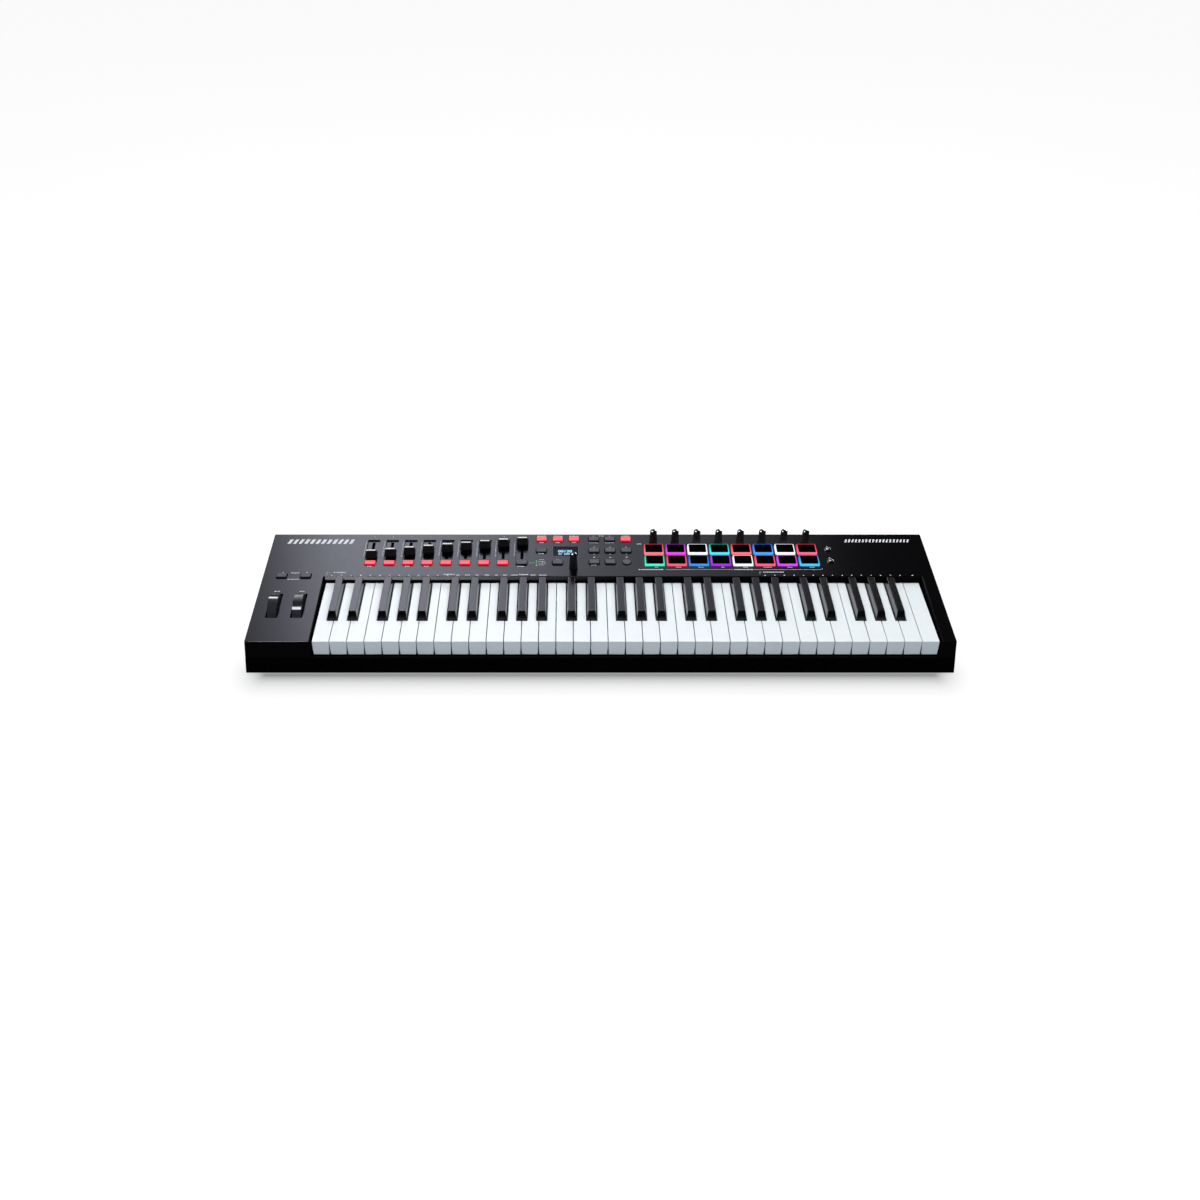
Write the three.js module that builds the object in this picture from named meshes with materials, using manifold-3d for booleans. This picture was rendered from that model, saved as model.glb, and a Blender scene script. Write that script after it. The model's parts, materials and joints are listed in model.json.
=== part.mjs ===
// A 61-key controller keyboard with two wheels, nine faders, nine knobs, sixteen pads and push buttons.
// Millimetres, +X to the player's right, +Y away from the player, +Z up. The origin is on the table,
// under the middle of the case.
import * as THREE from "three";
import { mergeVertices } from "three/addons/utils/BufferGeometryUtils.js";
import Module from "manifold-3d";

const wasm = await Module();
wasm.setup();

// ---------------------------------------------------------------- driving dimensions
// The case is a low box whose top slopes up to the back and whose ends lean in towards the top.
const CASE_HALF_DEPTH = 126;
const BOTTOM_HALF_WIDTH = 481.5;
const END_LEAN = 0.0736; // inward lean of the ends, per millimetre of height
const FOOT_HEIGHT = 4;
const SEAM_Z = 30.5; // where the top case meets the bottom case, and the top of the front rail
const SEAM_GAP = 0.4;
const FRONT_TOP_Z = 57;
const BACK_TOP_Z = 69;
const WALL = 2.5;
const RAIL_THICKNESS = 3.5;
const SLOPE = Math.atan((BACK_TOP_Z - FRONT_TOP_Z) / (2 * CASE_HALF_DEPTH));
const PANEL_Z = (FRONT_TOP_Z + BACK_TOP_Z) / 2; // the panel's height over the origin

// The keys.
const KEY_PITCH = 23.5;
const KEY_GAP = 0.9;
const OCTAVES = 5;
const WHITES_PER_OCTAVE = 7;
const WHITE_COUNT = OCTAVES * WHITES_PER_OCTAVE + 1;
const KEYS_LEFT = -389;
const KEYS_RIGHT = KEYS_LEFT + WHITE_COUNT * KEY_PITCH;
const KEY_FRONT_Y = -119;
const KEY_TOP_Z = 52;
const KEY_BOTTOM_Z = 42;
const LIP_BOTTOM_Z = 30;
const LIP_THICKNESS = 3;
const WHITE_BODY_END_Y = 34;
const NOTCH_FRONT_Y = -71;
const NOTCH_HALF = 7.8;
const BLACK_FRONT_Y = -69.6;
const BLACK_BACK_Y = 20;
const BLACK_TOP_Z = 63.5;
const BLACK_HALF_BASE = 6.8;
const BLACK_HALF_TOP = 4.9;
const BLACK_FRONT_SLOPE = 6;
// The black key to the right of a white key, by that white key's place in the octave,
// and how far its centre stands from the crack between the two white keys.
const BLACK_OFFSETS = { 0: -2.2, 1: 2.2, 3: -3.8, 4: 0, 5: 3.8 };
// The three moulded combs of each octave are stacked at the back, and each turns about its own bar.
const BAR_Y = 54;
const BAR_HALF = 3;
const BAR_END_GAP = 0.6;
const BAR_HEIGHT = 4;
const COMBS = {
  c_e_g_b: { notes: [0, 2, 4, 6], barZ: 34 },
  d_f_a: { notes: [1, 3, 5], barZ: 39.2 },
  black: { barZ: 44.4 },
};
const ARM_HALF = 3.5;
const ARM_FRONT_Y = 29;

// The key bed frame is one long profile that stands on pads in the bottom case.
const FRAME_FLOOR_Z = 9;
const CONTACT_BOARD_Z = 28.4;
const CONTACT_BOARD_Y = [-40, 8];
const FRAME_PROFILE = [
  { y: [-110, 62], top: FRAME_FLOOR_Z + 2 }, // floor
  { y: [-104, -98], top: 29.5 }, // the front rail the keys stop on
  { y: [-38, -35], top: CONTACT_BOARD_Z }, // two ribs that carry the contact board
  { y: [4, 7], top: CONTACT_BOARD_Z },
  { y: [48, 62], top: 33 }, // the ledge under the combs' bars
  { y: [58, 62], top: 50 }, // the wall behind them
];
const FRAME_PAD_XS = [-350, -120, 120, 400];
const FRAME_PAD_YS = [-100, 50];
const FRAME_PAD_SIZE = [14, 12];
const STRIP_INSET = 3;
const CONTACT_STRIP = { inset: 4, y: [-34, 2], thickness: 1.2 };
const DOME_BASE = [9, 9];
const DOME_TOP = [5.5, 5.5];
const DOME_TOP_Z = 36.5;
const WHITE_DOME_Y = -25;
const BLACK_DOME_Y = -8;

// The well that the keys sit in.
const WELL_LEFT = KEYS_LEFT - 2;
const WELL_RIGHT = KEYS_RIGHT + 2;
const WELL_BACK_Y = 21;
const WELL_WALL_BOTTOM_Z = 58.2;

// The controls, in the sloping panel's own frame: x, then u up the slope, then w out of the panel.
const FADER_COUNT = 9;
const FADER_FIRST_X = -328.2;
const FADER_PITCH = 27.22;
const FADER_REST_U = 70.7; // the first fader; each next one stands a step further back
const FADER_REST_STEP = 4;
const SLOT_HALF = 2;
const SLOT_U = [66.5, 107.5];
const RECESS_HALF = 8.8;
const RECESS_U = [61.5, 111.5];
const RECESS_DEPTH = 2.2;
const TRAY_U = [60.2, 113]; // the thicker tray under the recesses
const TRAY_BOTTOM_W = -4.2;
const PAD_COLUMNS = 8;
const PAD_FIRST_X = 81.2;
const PAD_PITCH = 31.8;
const PAD_ROWS = { upper: 86.3, lower: 58 };
const PAD_BASE = [28.4, 23.6];
const PAD_SKIRT = 1.9;
const PAD_HEIGHT = 3.1;
const KNOB_U = 105.5;
const KNOB_HEIGHT = 21.6;
const KNOB_BASE_RADIUS = 6.2;
const KNOB_TOP_RADIUS = 4.9;
const SHAFT_RADIUS = 3;
const SHAFT_HOLE_RADIUS = 4;
const SELECT_KNOB = [-35.9, 42.5];
const SELECT_KNOB_HEIGHT = 25.6;
const BUTTON_HEIGHT = 2.5;
const FADER_BUTTON = { u: 52.8, size: [16, 9.3] };
const BUTTON_SIZE = [15.2, 10.4];
const BUTTON_CLEARANCE = 0.45;
const BANK_BUTTONS = [
  [-82.3, 112],
  [-58.6, 112],
  [-34.9, 112],
  [-82.3, 83.5],
  [-58.6, 54],
];
const TRANSPORT_COLUMNS = [-5.8, 17.5, 41];
const TRANSPORT_ROWS = [112, 83.5, 55];
const OCTAVE_BUTTONS = [
  [-450.4, 22],
  [-416.2, 22],
];
const SCENE_BUTTONS = [
  [334, 86.5],
  [334, 57.7],
];
const SCENE_RADIUS = 5.4;
const RECORD_RADIUS = 6.4;
const ROUND_BUTTON_HEIGHT = 1.7;
const FADER_CAP = {
  base: [17, 15],
  waist: [15.6, 12.4],
  ridge: [13.8, 3.6],
  bottom: 0.6,
  waistW: 4,
  top: 11,
};
const FADER_STEM = [1.6, 4.6];
const WEB_TOP_W = -3; // the rubber web that joins the caps of one keypad, under the panel
const WEB_THICKNESS = 1.2;
const PAD_WEB_MARGIN = 1.2;
// The webs' outlines, as x and u ranges.
const FADER_BUTTON_WEB = [[-338.2, -100.94], [46.5, 59.5]];
const BANK_WEBS = [
  [[-92, -72], [47, 119]],
  [[-92, -24.5], [106, 119]],
  [[-92, -49], [47, 60.5]],
];
const TRANSPORT_WEB = [[-15, 50], [48, 119]];
const OCTAVE_WEB = [[-460.2, -406.4], [15, 29]];
const SCENE_WEB = [[327, 341], [50, 94]];
const DISPLAY = { x: -47, u: 83, size: [36, 23.6] };
const DISPLAY_GLASS = [25, 18];
const BOARD_TOP_W = -13;
const BOARD_THICKNESS = 1.6;
const BOARD_AREAS = [
  [[-470, 362], [46, 120]],
  [[-470, -398], [5, 47]],
  [[-47.9, -23.9], [36, 47]],
];
const FADER_BODY = { half: 4.5, u: [62, 112], height: 3 };
const POT_BODY = { size: [11, 11], height: 4 };

// The wheels.
const WHEEL_RADIUS = 30;
const WHEEL_HALF_WIDTH = 6.4;
const WHEEL_PROUD = 12;
const WHEEL_U = -46.9;
const WHEEL_XS = { pitch_wheel: -450.2, mod_wheel: -416 };
const WHEEL_SLOT = [16.2, 54.4];
const AXLE_RADIUS = 3;
const AXLE_REACH = 14.5;
const NOTCH_RADIUS = 5;
const NOTCH_REACH = WHEEL_RADIUS + 2.8; // from the axle to the middle of the notch's circle
const CHEEK_HALF = 4.5; // the cheeks carry the axles on both sides of each wheel
const CHEEK_MARGIN = 7;
const CHEEK_TOP_Z = 48;
const TIE_Z = [20, 27];
const TIE_HALF = 1.5;
const NOTCH_ANGLES = { pitch_wheel: 103.8, mod_wheel: 67 }; // degrees over the player's horizon

// The back of the case. Half sizes are across, then up.
const REAR_Z = 44;
const REAR_CLEARANCE = 0.5;
const REAR_STEP = 0.2; // the sockets stop this short of the back wall's outside
const JACK_XS = [-305, -280, -255];
const JACK_RADIUS = 6;
const JACK_BORE_RADIUS = 3.25;
const JACK_BLOCK = { margin: 11, depth: 26, halfHeight: 8 };
const MIDI_X = -345;
const MIDI_RADIUS = 8.8;
const MIDI_GROOVE = [6.2, 7.6]; // inner and outer radius of the ring the plug's shell enters
const MIDI_PIN_CIRCLE = 4.2;
const MIDI_PIN_RADIUS = 0.8;
const MIDI_PIN_DEGREES = [-90, -45, 0, 45, 90];
const MIDI_BODY = { half: [10, 9], depth: 14 };
const USB_X = -383;
const USB_HALF = [6.1, 5.5];
const USB_MOUTH_HALF = [4.8, 4.2];
const USB_TONGUE_HALF = [2.9, 1.6];
const USB_DEPTH = 14;
const SWITCH_X = -420;
const SWITCH_TILT = THREE.MathUtils.degToRad(8);
const ROCKER_HALF = [7.6, 4.6];
const ROCKER_CLEARANCE = 0.6;

const FOOT_SPOTS = {
  foot_front_left: [-440, -100],
  foot_front_right: [440, -100],
  foot_back_left: [-440, 100],
  foot_back_right: [440, 100],
};
const FOOT_RADIUS = 9;
const THROUGH_PANEL = [-8, 8]; // deep enough to pass the panel and the tray

const PLASTIC = { color: 0x1b1b1e, roughness: 0.55, metalness: 0 };
const RUBBER = { color: 0x141416, roughness: 0.85, metalness: 0 };
const IVORY = { color: 0xf1f3f4, roughness: 0.25, metalness: 0 };
const EBONY = { color: 0x17171a, roughness: 0.4, metalness: 0 };
const BOARD_GREEN = { color: 0x1e5a3a, roughness: 0.6, metalness: 0 };
const METAL = { color: 0xb9bcc0, roughness: 0.3, metalness: 1 };
const GLASS = { color: 0x20242a, roughness: 0.1, metalness: 0 };
const SCREEN = { color: 0x0c1a24, roughness: 0.3, metalness: 0 };
const RED_LIT = { color: 0xf04a5a, roughness: 0.5, metalness: 0 };

// ---------------------------------------------------------------- solids
// A closed solid between two polygons with as many corners, both anticlockwise from above, lower first.
function loft(lower, upper) {
  const n = lower.length;
  const index = [];
  const outline = lower.map(([x, y]) => new THREE.Vector2(x, y));
  for (const [a, b, c] of THREE.ShapeUtils.triangulateShape(outline, [])) {
    index.push(c, b, a, n + a, n + b, n + c);
  }
  for (let i = 0; i < n; i++) {
    const j = (i + 1) % n;
    index.push(i, j, n + j, i, n + j, n + i);
  }
  const geometry = new THREE.BufferGeometry();
  geometry.setAttribute("position", new THREE.Float32BufferAttribute([...lower, ...upper].flat(), 3));
  geometry.setIndex(index);
  return geometry;
}

function prism(outline, z0, z1) {
  return loft(
    outline.map(([x, y]) => [x, y, z0]),
    outline.map(([x, y]) => [x, y, z1]),
  );
}

function box([x0, x1], [y0, y1], [z0, z1]) {
  const block = new THREE.BoxGeometry(x1 - x0, y1 - y0, z1 - z0);
  return block.translate((x0 + x1) / 2, (y0 + y1) / 2, (z0 + z1) / 2);
}

// A box standing on a plan centre, with its height given as a range.
function post([x, y], [width, depth], heights) {
  return box([x - width / 2, x + width / 2], [y - depth / 2, y + depth / 2], heights);
}

// A rectangle's four corners at one height.
function rectangle([x, y], [width, depth], z) {
  const [a, b] = [width / 2, depth / 2];
  return [
    [x - a, y - b, z],
    [x + a, y - b, z],
    [x + a, y + b, z],
    [x - a, y + b, z],
  ];
}

function upright(radius, [z0, z1], [x, y], segments = 20) {
  return new THREE.CylinderGeometry(radius, radius, z1 - z0, segments)
    .rotateX(Math.PI / 2)
    .translate(x, y, (z0 + z1) / 2);
}

function rearBarrel(radius, [y0, y1], x, z, segments = 20) {
  return new THREE.CylinderGeometry(radius, radius, y1 - y0, segments).translate(x, (y0 + y1) / 2, z);
}

function solid(geometry) {
  const bare = geometry.clone();
  bare.deleteAttribute("normal");
  bare.deleteAttribute("uv");
  const merged = mergeVertices(bare, 1e-4);
  return new wasm.Manifold(
    new wasm.Mesh({
      numProp: 3,
      vertProperties: merged.attributes.position.array,
      triVerts: new Uint32Array(merged.index.array),
    }),
  );
}

function join(...geometries) {
  return geometries.map(solid).reduce((whole, next) => whole.add(next));
}

function cut(whole, ...geometries) {
  return whole.subtract(join(...geometries));
}

function geometryOf(made) {
  const mesh = made.getMesh();
  const geometry = new THREE.BufferGeometry();
  geometry.setAttribute("position", new THREE.BufferAttribute(mesh.vertProperties, 3));
  geometry.setIndex(new THREE.BufferAttribute(mesh.triVerts, 1));
  geometry.computeVertexNormals();
  return geometry;
}

const keyboard = new THREE.Group();
const panel = new THREE.Group(); // everything that stands square to the sloping panel
panel.position.z = PANEL_Z;
panel.rotation.x = SLOPE;
keyboard.add(panel);
panel.updateMatrix();

function onPanel(geometry) {
  return geometry.clone().applyMatrix4(panel.matrix);
}

function add(group, name, made, look) {
  const mesh = new THREE.Mesh(geometryOf(made), new THREE.MeshStandardMaterial(look));
  mesh.name = name;
  group.add(mesh);
  return mesh;
}

// ---------------------------------------------------------------- case
function halfWidth(z) {
  return BOTTOM_HALF_WIDTH - (z - FOOT_HEIGHT) * END_LEAN;
}

// The case's outer block between two heights, shrunk by an inset on every side wall.
function caseBlock(z0, frontZ, backZ, inset) {
  const y = CASE_HALF_DEPTH - inset;
  const ring = (front, back) => [
    [inset - halfWidth(front), -y, front],
    [halfWidth(front) - inset, -y, front],
    [halfWidth(back) - inset, y, back],
    [inset - halfWidth(back), y, back],
  ];
  return loft(ring(z0, z0), ring(frontZ, backZ));
}

const faderX = (i) => FADER_FIRST_X + i * FADER_PITCH;
const padX = (i) => PAD_FIRST_X + i * PAD_PITCH;
const faders = Array.from({ length: FADER_COUNT }, (_, i) => i);
const padColumns = Array.from({ length: PAD_COLUMNS }, (_, i) => i);
const faderButtons = faders.map((i) => [faderX(i), FADER_BUTTON.u]);
const transportButtons = TRANSPORT_ROWS.flatMap((u) => TRANSPORT_COLUMNS.map((x) => [x, u]));
const RECORD_BUTTON = transportButtons.length - 1; // the last one is round

function grown([width, depth], margin) {
  return [width + 2 * margin, depth + 2 * margin];
}

function around(middle, half) {
  return [middle - half, middle + half];
}

function panelOpenings() {
  const slot = (i) => box(around(faderX(i), SLOT_HALF), SLOT_U, THROUGH_PANEL);
  const recess = (i) => box(around(faderX(i), RECESS_HALF), RECESS_U, [-RECESS_DEPTH, 4]);
  const rect = (spot, size) => post(spot, grown(size, BUTTON_CLEARANCE), THROUGH_PANEL);
  const round = (spot, radius) => upright(radius, THROUGH_PANEL, spot);
  return [
    ...faders.map(slot),
    ...faders.map(recess),
    ...faderButtons.map((spot) => rect(spot, FADER_BUTTON.size)),
    ...BANK_BUTTONS.map((spot) => rect(spot, BUTTON_SIZE)),
    ...transportButtons.slice(0, RECORD_BUTTON).map((spot) => rect(spot, BUTTON_SIZE)),
    round(transportButtons[RECORD_BUTTON], RECORD_RADIUS + BUTTON_CLEARANCE),
    ...OCTAVE_BUTTONS.map((spot) => rect(spot, BUTTON_SIZE)),
    ...SCENE_BUTTONS.map((spot) => round(spot, SCENE_RADIUS + BUTTON_CLEARANCE)),
    ...Object.values(PAD_ROWS).flatMap((u) => padColumns.map((i) => rect([padX(i), u], PAD_BASE))),
    ...padColumns.map((i) => round([padX(i), KNOB_U], SHAFT_HOLE_RADIUS)),
    round(SELECT_KNOB, SHAFT_HOLE_RADIUS),
    post([DISPLAY.x, DISPLAY.u], DISPLAY.size, THROUGH_PANEL),
    ...Object.values(WHEEL_XS).map((x) => post([x, WHEEL_U], WHEEL_SLOT, THROUGH_PANEL)),
  ].map(onPanel);
}

// A box on the back wall's level, about an x, with its half width and half height.
function rearBox(x, [halfWidth, halfHeight], depths) {
  return box([x - halfWidth, x + halfWidth], depths, [REAR_Z - halfHeight, REAR_Z + halfHeight]);
}

function rearOpenings() {
  const through = [CASE_HALF_DEPTH - WALL - 3, CASE_HALF_DEPTH + 3];
  const eased = (half, margin) => half.map((size) => size + margin);
  return [
    ...JACK_XS.map((x) => rearBarrel(JACK_RADIUS + REAR_CLEARANCE, through, x, REAR_Z)),
    rearBarrel(MIDI_RADIUS + REAR_CLEARANCE, through, MIDI_X, REAR_Z),
    rearBox(USB_X, eased(USB_HALF, REAR_CLEARANCE), through),
    rearBox(SWITCH_X, eased(ROCKER_HALF, ROCKER_CLEARANCE), through),
  ];
}

// Screw posts that hold the main board under the panel.
const BOARD_POSTS = [
  [-346, 56],
  [-346, 112],
  [-21.6, 62],
  [-21.6, 98],
  [57.5, 56],
  [57.5, 108],
  [350, 56],
  [350, 112],
];

function topCase() {
  const outer = solid(caseBlock(SEAM_Z, FRONT_TOP_Z, BACK_TOP_Z, 0));
  const cavity = solid(caseBlock(SEAM_Z - 5, FRONT_TOP_Z - WALL, BACK_TOP_Z - WALL, WALL));
  const everyZ = [0, 100];
  const frontY = -CASE_HALF_DEPTH - 5;
  const wellWalls = box([WELL_LEFT - WALL, WELL_RIGHT + WALL], [frontY, WELL_BACK_Y + WALL], everyZ);
  const well = box([WELL_LEFT, WELL_RIGHT], [frontY, WELL_BACK_Y], everyZ);
  const throughWall = [WELL_BACK_Y - 1, WELL_BACK_Y + WALL + 1];
  const keyPassage = box([WELL_LEFT, WELL_RIGHT], throughWall, [0, WELL_WALL_BOTTOM_Z]);
  const posts = BOARD_POSTS.map((spot) => onPanel(post(spot, [5, 6], [BOARD_TOP_W + 0.3, -WALL / 2])));
  const trayX = [faderX(0) - 11, faderX(FADER_COUNT - 1) + 10];
  const tray = onPanel(box(trayX, TRAY_U, [TRAY_BOTTOM_W, -WALL / 2]));
  const shell = outer.subtract(cavity).add(outer.intersect(solid(wellWalls))).add(solid(tray));
  return cut(shell, well, keyPassage, ...panelOpenings(), ...rearOpenings()).add(join(...posts));
}

// The tray under the keys, with the front rail as its front wall and pads for the key bed frame.
function bottomCase() {
  const top = SEAM_Z - SEAM_GAP;
  const outer = solid(caseBlock(FOOT_HEIGHT, top, top, 0));
  const inner = caseBlock(FOOT_HEIGHT + WALL, top + 1, top + 1, RAIL_THICKNESS);
  const pads = FRAME_PAD_XS.flatMap((x) =>
    FRAME_PAD_YS.map((y) => post([x, y], FRAME_PAD_SIZE, [FOOT_HEIGHT + 1, FRAME_FLOOR_Z])),
  );
  return cut(outer, inner).add(join(...pads));
}

// ---------------------------------------------------------------- key bed
function keyBedFrame() {
  const span = [KEYS_LEFT, KEYS_RIGHT];
  const standing = FRAME_PROFILE.map(({ y, top }) => box(span, y, [FRAME_FLOOR_Z, top]));
  return join(...standing);
}

function contactBoard() {
  const span = [KEYS_LEFT + STRIP_INSET, KEYS_RIGHT - STRIP_INSET];
  return join(box(span, CONTACT_BOARD_Y, [CONTACT_BOARD_Z, CONTACT_BOARD_Z + BOARD_THICKNESS]));
}

function blackKeySpots() {
  return Array.from({ length: WHITE_COUNT - 1 }, (_, k) => k)
    .filter((k) => k % WHITES_PER_OCTAVE in BLACK_OFFSETS)
    .map((k) => KEYS_LEFT + (k + 1) * KEY_PITCH + BLACK_OFFSETS[k % WHITES_PER_OCTAVE]);
}

// One rubber strip with a dome under every key.
function contactRubber() {
  const base = CONTACT_BOARD_Z + BOARD_THICKNESS;
  const { inset, y, thickness } = CONTACT_STRIP;
  const dome = (spot) => loft(
    rectangle(spot, DOME_BASE, base + 0.5),
    rectangle(spot, DOME_TOP, DOME_TOP_Z),
  );
  const tails = Array.from({ length: WHITE_COUNT }, (_, k) => whiteTail(k));
  const whites = tails.map(([left, right]) => dome([(left + right) / 2, WHITE_DOME_Y]));
  const blacks = blackKeySpots().map((x) => dome([x, BLACK_DOME_Y]));
  const strip = box([KEYS_LEFT + inset, KEYS_RIGHT - inset], y, [base, base + thickness]);
  return join(strip, ...whites, ...blacks);
}

// ---------------------------------------------------------------- keys
function whiteSides(k) {
  const left = KEYS_LEFT + k * KEY_PITCH + KEY_GAP / 2;
  return [left, left + KEY_PITCH - KEY_GAP];
}

function blackCentre(k) {
  const note = k % WHITES_PER_OCTAVE;
  const hasBlack = k >= 0 && k < WHITE_COUNT - 1 && note in BLACK_OFFSETS;
  return hasBlack ? KEYS_LEFT + (k + 1) * KEY_PITCH + BLACK_OFFSETS[note] : null;
}

// The left and right sides of a white key's narrow part, between the black keys.
function whiteTail(k) {
  const [left, right] = whiteSides(k);
  const [before, after] = [blackCentre(k - 1), blackCentre(k)];
  return [before === null ? left : before + NOTCH_HALF, after === null ? right : after - NOTCH_HALF];
}

function whiteOutline(k) {
  const [left, right] = whiteSides(k);
  const [tailLeft, tailRight] = whiteTail(k);
  const outline = [
    [left, KEY_FRONT_Y],
    [right, KEY_FRONT_Y],
  ];
  if (tailRight < right) outline.push([right, NOTCH_FRONT_Y]);
  if (tailRight < right) outline.push([tailRight, NOTCH_FRONT_Y]);
  outline.push([tailRight, WHITE_BODY_END_Y], [tailLeft, WHITE_BODY_END_Y]);
  if (tailLeft > left) outline.push([tailLeft, NOTCH_FRONT_Y]);
  if (tailLeft > left) outline.push([left, NOTCH_FRONT_Y]);
  return outline;
}

function whiteKey(k, barZ) {
  const sides = whiteSides(k);
  const [tailLeft, tailRight] = whiteTail(k);
  const middle = (tailLeft + tailRight) / 2;
  const lane = [middle - ARM_HALF, middle + ARM_HALF];
  const barTop = barZ + BAR_HEIGHT;
  return [
    prism(whiteOutline(k), KEY_BOTTOM_Z, KEY_TOP_Z),
    box(sides, [KEY_FRONT_Y, KEY_FRONT_Y + LIP_THICKNESS], [LIP_BOTTOM_Z, KEY_BOTTOM_Z + 1]),
    box(lane, [ARM_FRONT_Y, WHITE_BODY_END_Y - 0.5], [barZ, KEY_BOTTOM_Z + 1]),
    box(lane, [ARM_FRONT_Y + 0.5, BAR_Y], [barZ, barTop]),
  ];
}

function blackKey(x) {
  const length = [BLACK_FRONT_Y, BLACK_BACK_Y];
  const corner = (half, front, back, z) => [
    [x - half, front, z],
    [x + half, front, z],
    [x + half, back, z],
    [x - half, back, z],
  ];
  const barZ = COMBS.black.barZ;
  return [
    box([x - BLACK_HALF_BASE, x + BLACK_HALF_BASE], length, [KEY_BOTTOM_Z, KEY_TOP_Z]),
    loft(
      corner(BLACK_HALF_BASE, BLACK_FRONT_Y, BLACK_BACK_Y, KEY_TOP_Z - 0.5),
      corner(BLACK_HALF_TOP, BLACK_FRONT_Y + BLACK_FRONT_SLOPE, BLACK_BACK_Y, BLACK_TOP_Z),
    ),
    box([x - ARM_HALF, x + ARM_HALF], [BLACK_BACK_Y - 1, BAR_Y], [barZ, barZ + BAR_HEIGHT]),
  ];
}

// The bar that joins a comb's arms, from one white key's left side to another's right side.
function combBar(firstWhite, lastWhite, barZ) {
  const left = KEYS_LEFT + firstWhite * KEY_PITCH + BAR_END_GAP;
  const right = KEYS_LEFT + (lastWhite + 1) * KEY_PITCH - BAR_END_GAP;
  return box([left, right], [BAR_Y - BAR_HALF, BAR_Y + BAR_HALF], [barZ, barZ + BAR_HEIGHT]);
}

function addKeys() {
  for (let octave = 0; octave < OCTAVES; octave++) {
    const first = octave * WHITES_PER_OCTAVE;
    const last = first + WHITES_PER_OCTAVE - 1;
    for (const comb of ["c_e_g_b", "d_f_a"]) {
      const { notes, barZ } = COMBS[comb];
      const keys = notes.flatMap((note) => whiteKey(first + note, barZ));
      add(keyboard, `octave_${octave + 1}_${comb}_keys`, join(combBar(first, last, barZ), ...keys), IVORY);
    }
    const blackNotes = Object.keys(BLACK_OFFSETS).map(Number);
    const blacks = blackNotes.flatMap((note) => blackKey(blackCentre(first + note)));
    const bar = combBar(first, last, COMBS.black.barZ);
    add(keyboard, `octave_${octave + 1}_black_keys`, join(bar, ...blacks), EBONY);
  }
  const top = WHITE_COUNT - 1;
  const { barZ } = COMBS.c_e_g_b;
  add(keyboard, "top_c_key", join(combBar(top, top, barZ), ...whiteKey(top, barZ)), IVORY);
}

// ---------------------------------------------------------------- controls on the panel
function addFaders() {
  const { base, waist, ridge, bottom, waistW, top } = FADER_CAP;
  const stem = [BOARD_TOP_W + 3.5, bottom + 1];
  for (const i of faders) {
    const spot = [faderX(i), FADER_REST_U + i * FADER_REST_STEP];
    const cap = join(
      loft(rectangle(spot, base, bottom), rectangle(spot, waist, waistW)),
      loft(rectangle(spot, waist, waistW - 0.1), rectangle(spot, ridge, top)),
      post(spot, FADER_STEM, stem),
    );
    add(panel, `fader_${i + 1}`, cap, PLASTIC);
  }
}

// A tapered knob on its shaft, with a raised pointer that shows how far it is turned.
function knob(spot, height) {
  const profile = [
    [0, BOARD_TOP_W + 4.5],
    [SHAFT_RADIUS, BOARD_TOP_W + 4.5],
    [SHAFT_RADIUS, 0.8],
    [KNOB_BASE_RADIUS, 0.8],
    [KNOB_BASE_RADIUS, 3],
    [KNOB_TOP_RADIUS, height],
    [0, height],
  ].map(([r, w]) => new THREE.Vector2(r, w));
  const turned = new THREE.LatheGeometry(profile, 16).rotateX(Math.PI / 2);
  const pointer = box([-0.6, 0.6], [1, KNOB_TOP_RADIUS + 0.3], [height - 5, height + 0.4]);
  return join(turned, pointer).translate([...spot, 0]);
}

function addKnobs() {
  for (const i of padColumns) add(panel, `knob_${i + 1}`, knob([padX(i), KNOB_U], KNOB_HEIGHT), RUBBER);
  add(panel, "select_knob", knob(SELECT_KNOB, SELECT_KNOB_HEIGHT), RUBBER);
}

const WEB = [WEB_TOP_W - WEB_THICKNESS, WEB_TOP_W];

function padRow(u) {
  const first = padX(0) - PAD_PITCH / 2;
  const last = padX(PAD_COLUMNS - 1) + PAD_PITCH / 2;
  const [width, depth] = PAD_BASE;
  const top = [width - 2 * PAD_SKIRT, depth - 2 * PAD_SKIRT];
  const blocks = padColumns.flatMap((i) => [
    post([padX(i), u], PAD_BASE, [WEB_TOP_W - 0.5, 0.5]),
    loft(rectangle([padX(i), u], PAD_BASE, 0.4), rectangle([padX(i), u], top, PAD_HEIGHT)),
  ]);
  const webHalf = depth / 2 + PAD_WEB_MARGIN;
  return join(box([first, last], [u - webHalf, u + webHalf], WEB), ...blocks);
}

function cap(spot, size) {
  return post(spot, size, [WEB_TOP_W - 0.5, BUTTON_HEIGHT]);
}

function roundCap(spot, radius) {
  return upright(radius, [WEB_TOP_W - 0.5, ROUND_BUTTON_HEIGHT], spot);
}

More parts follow.
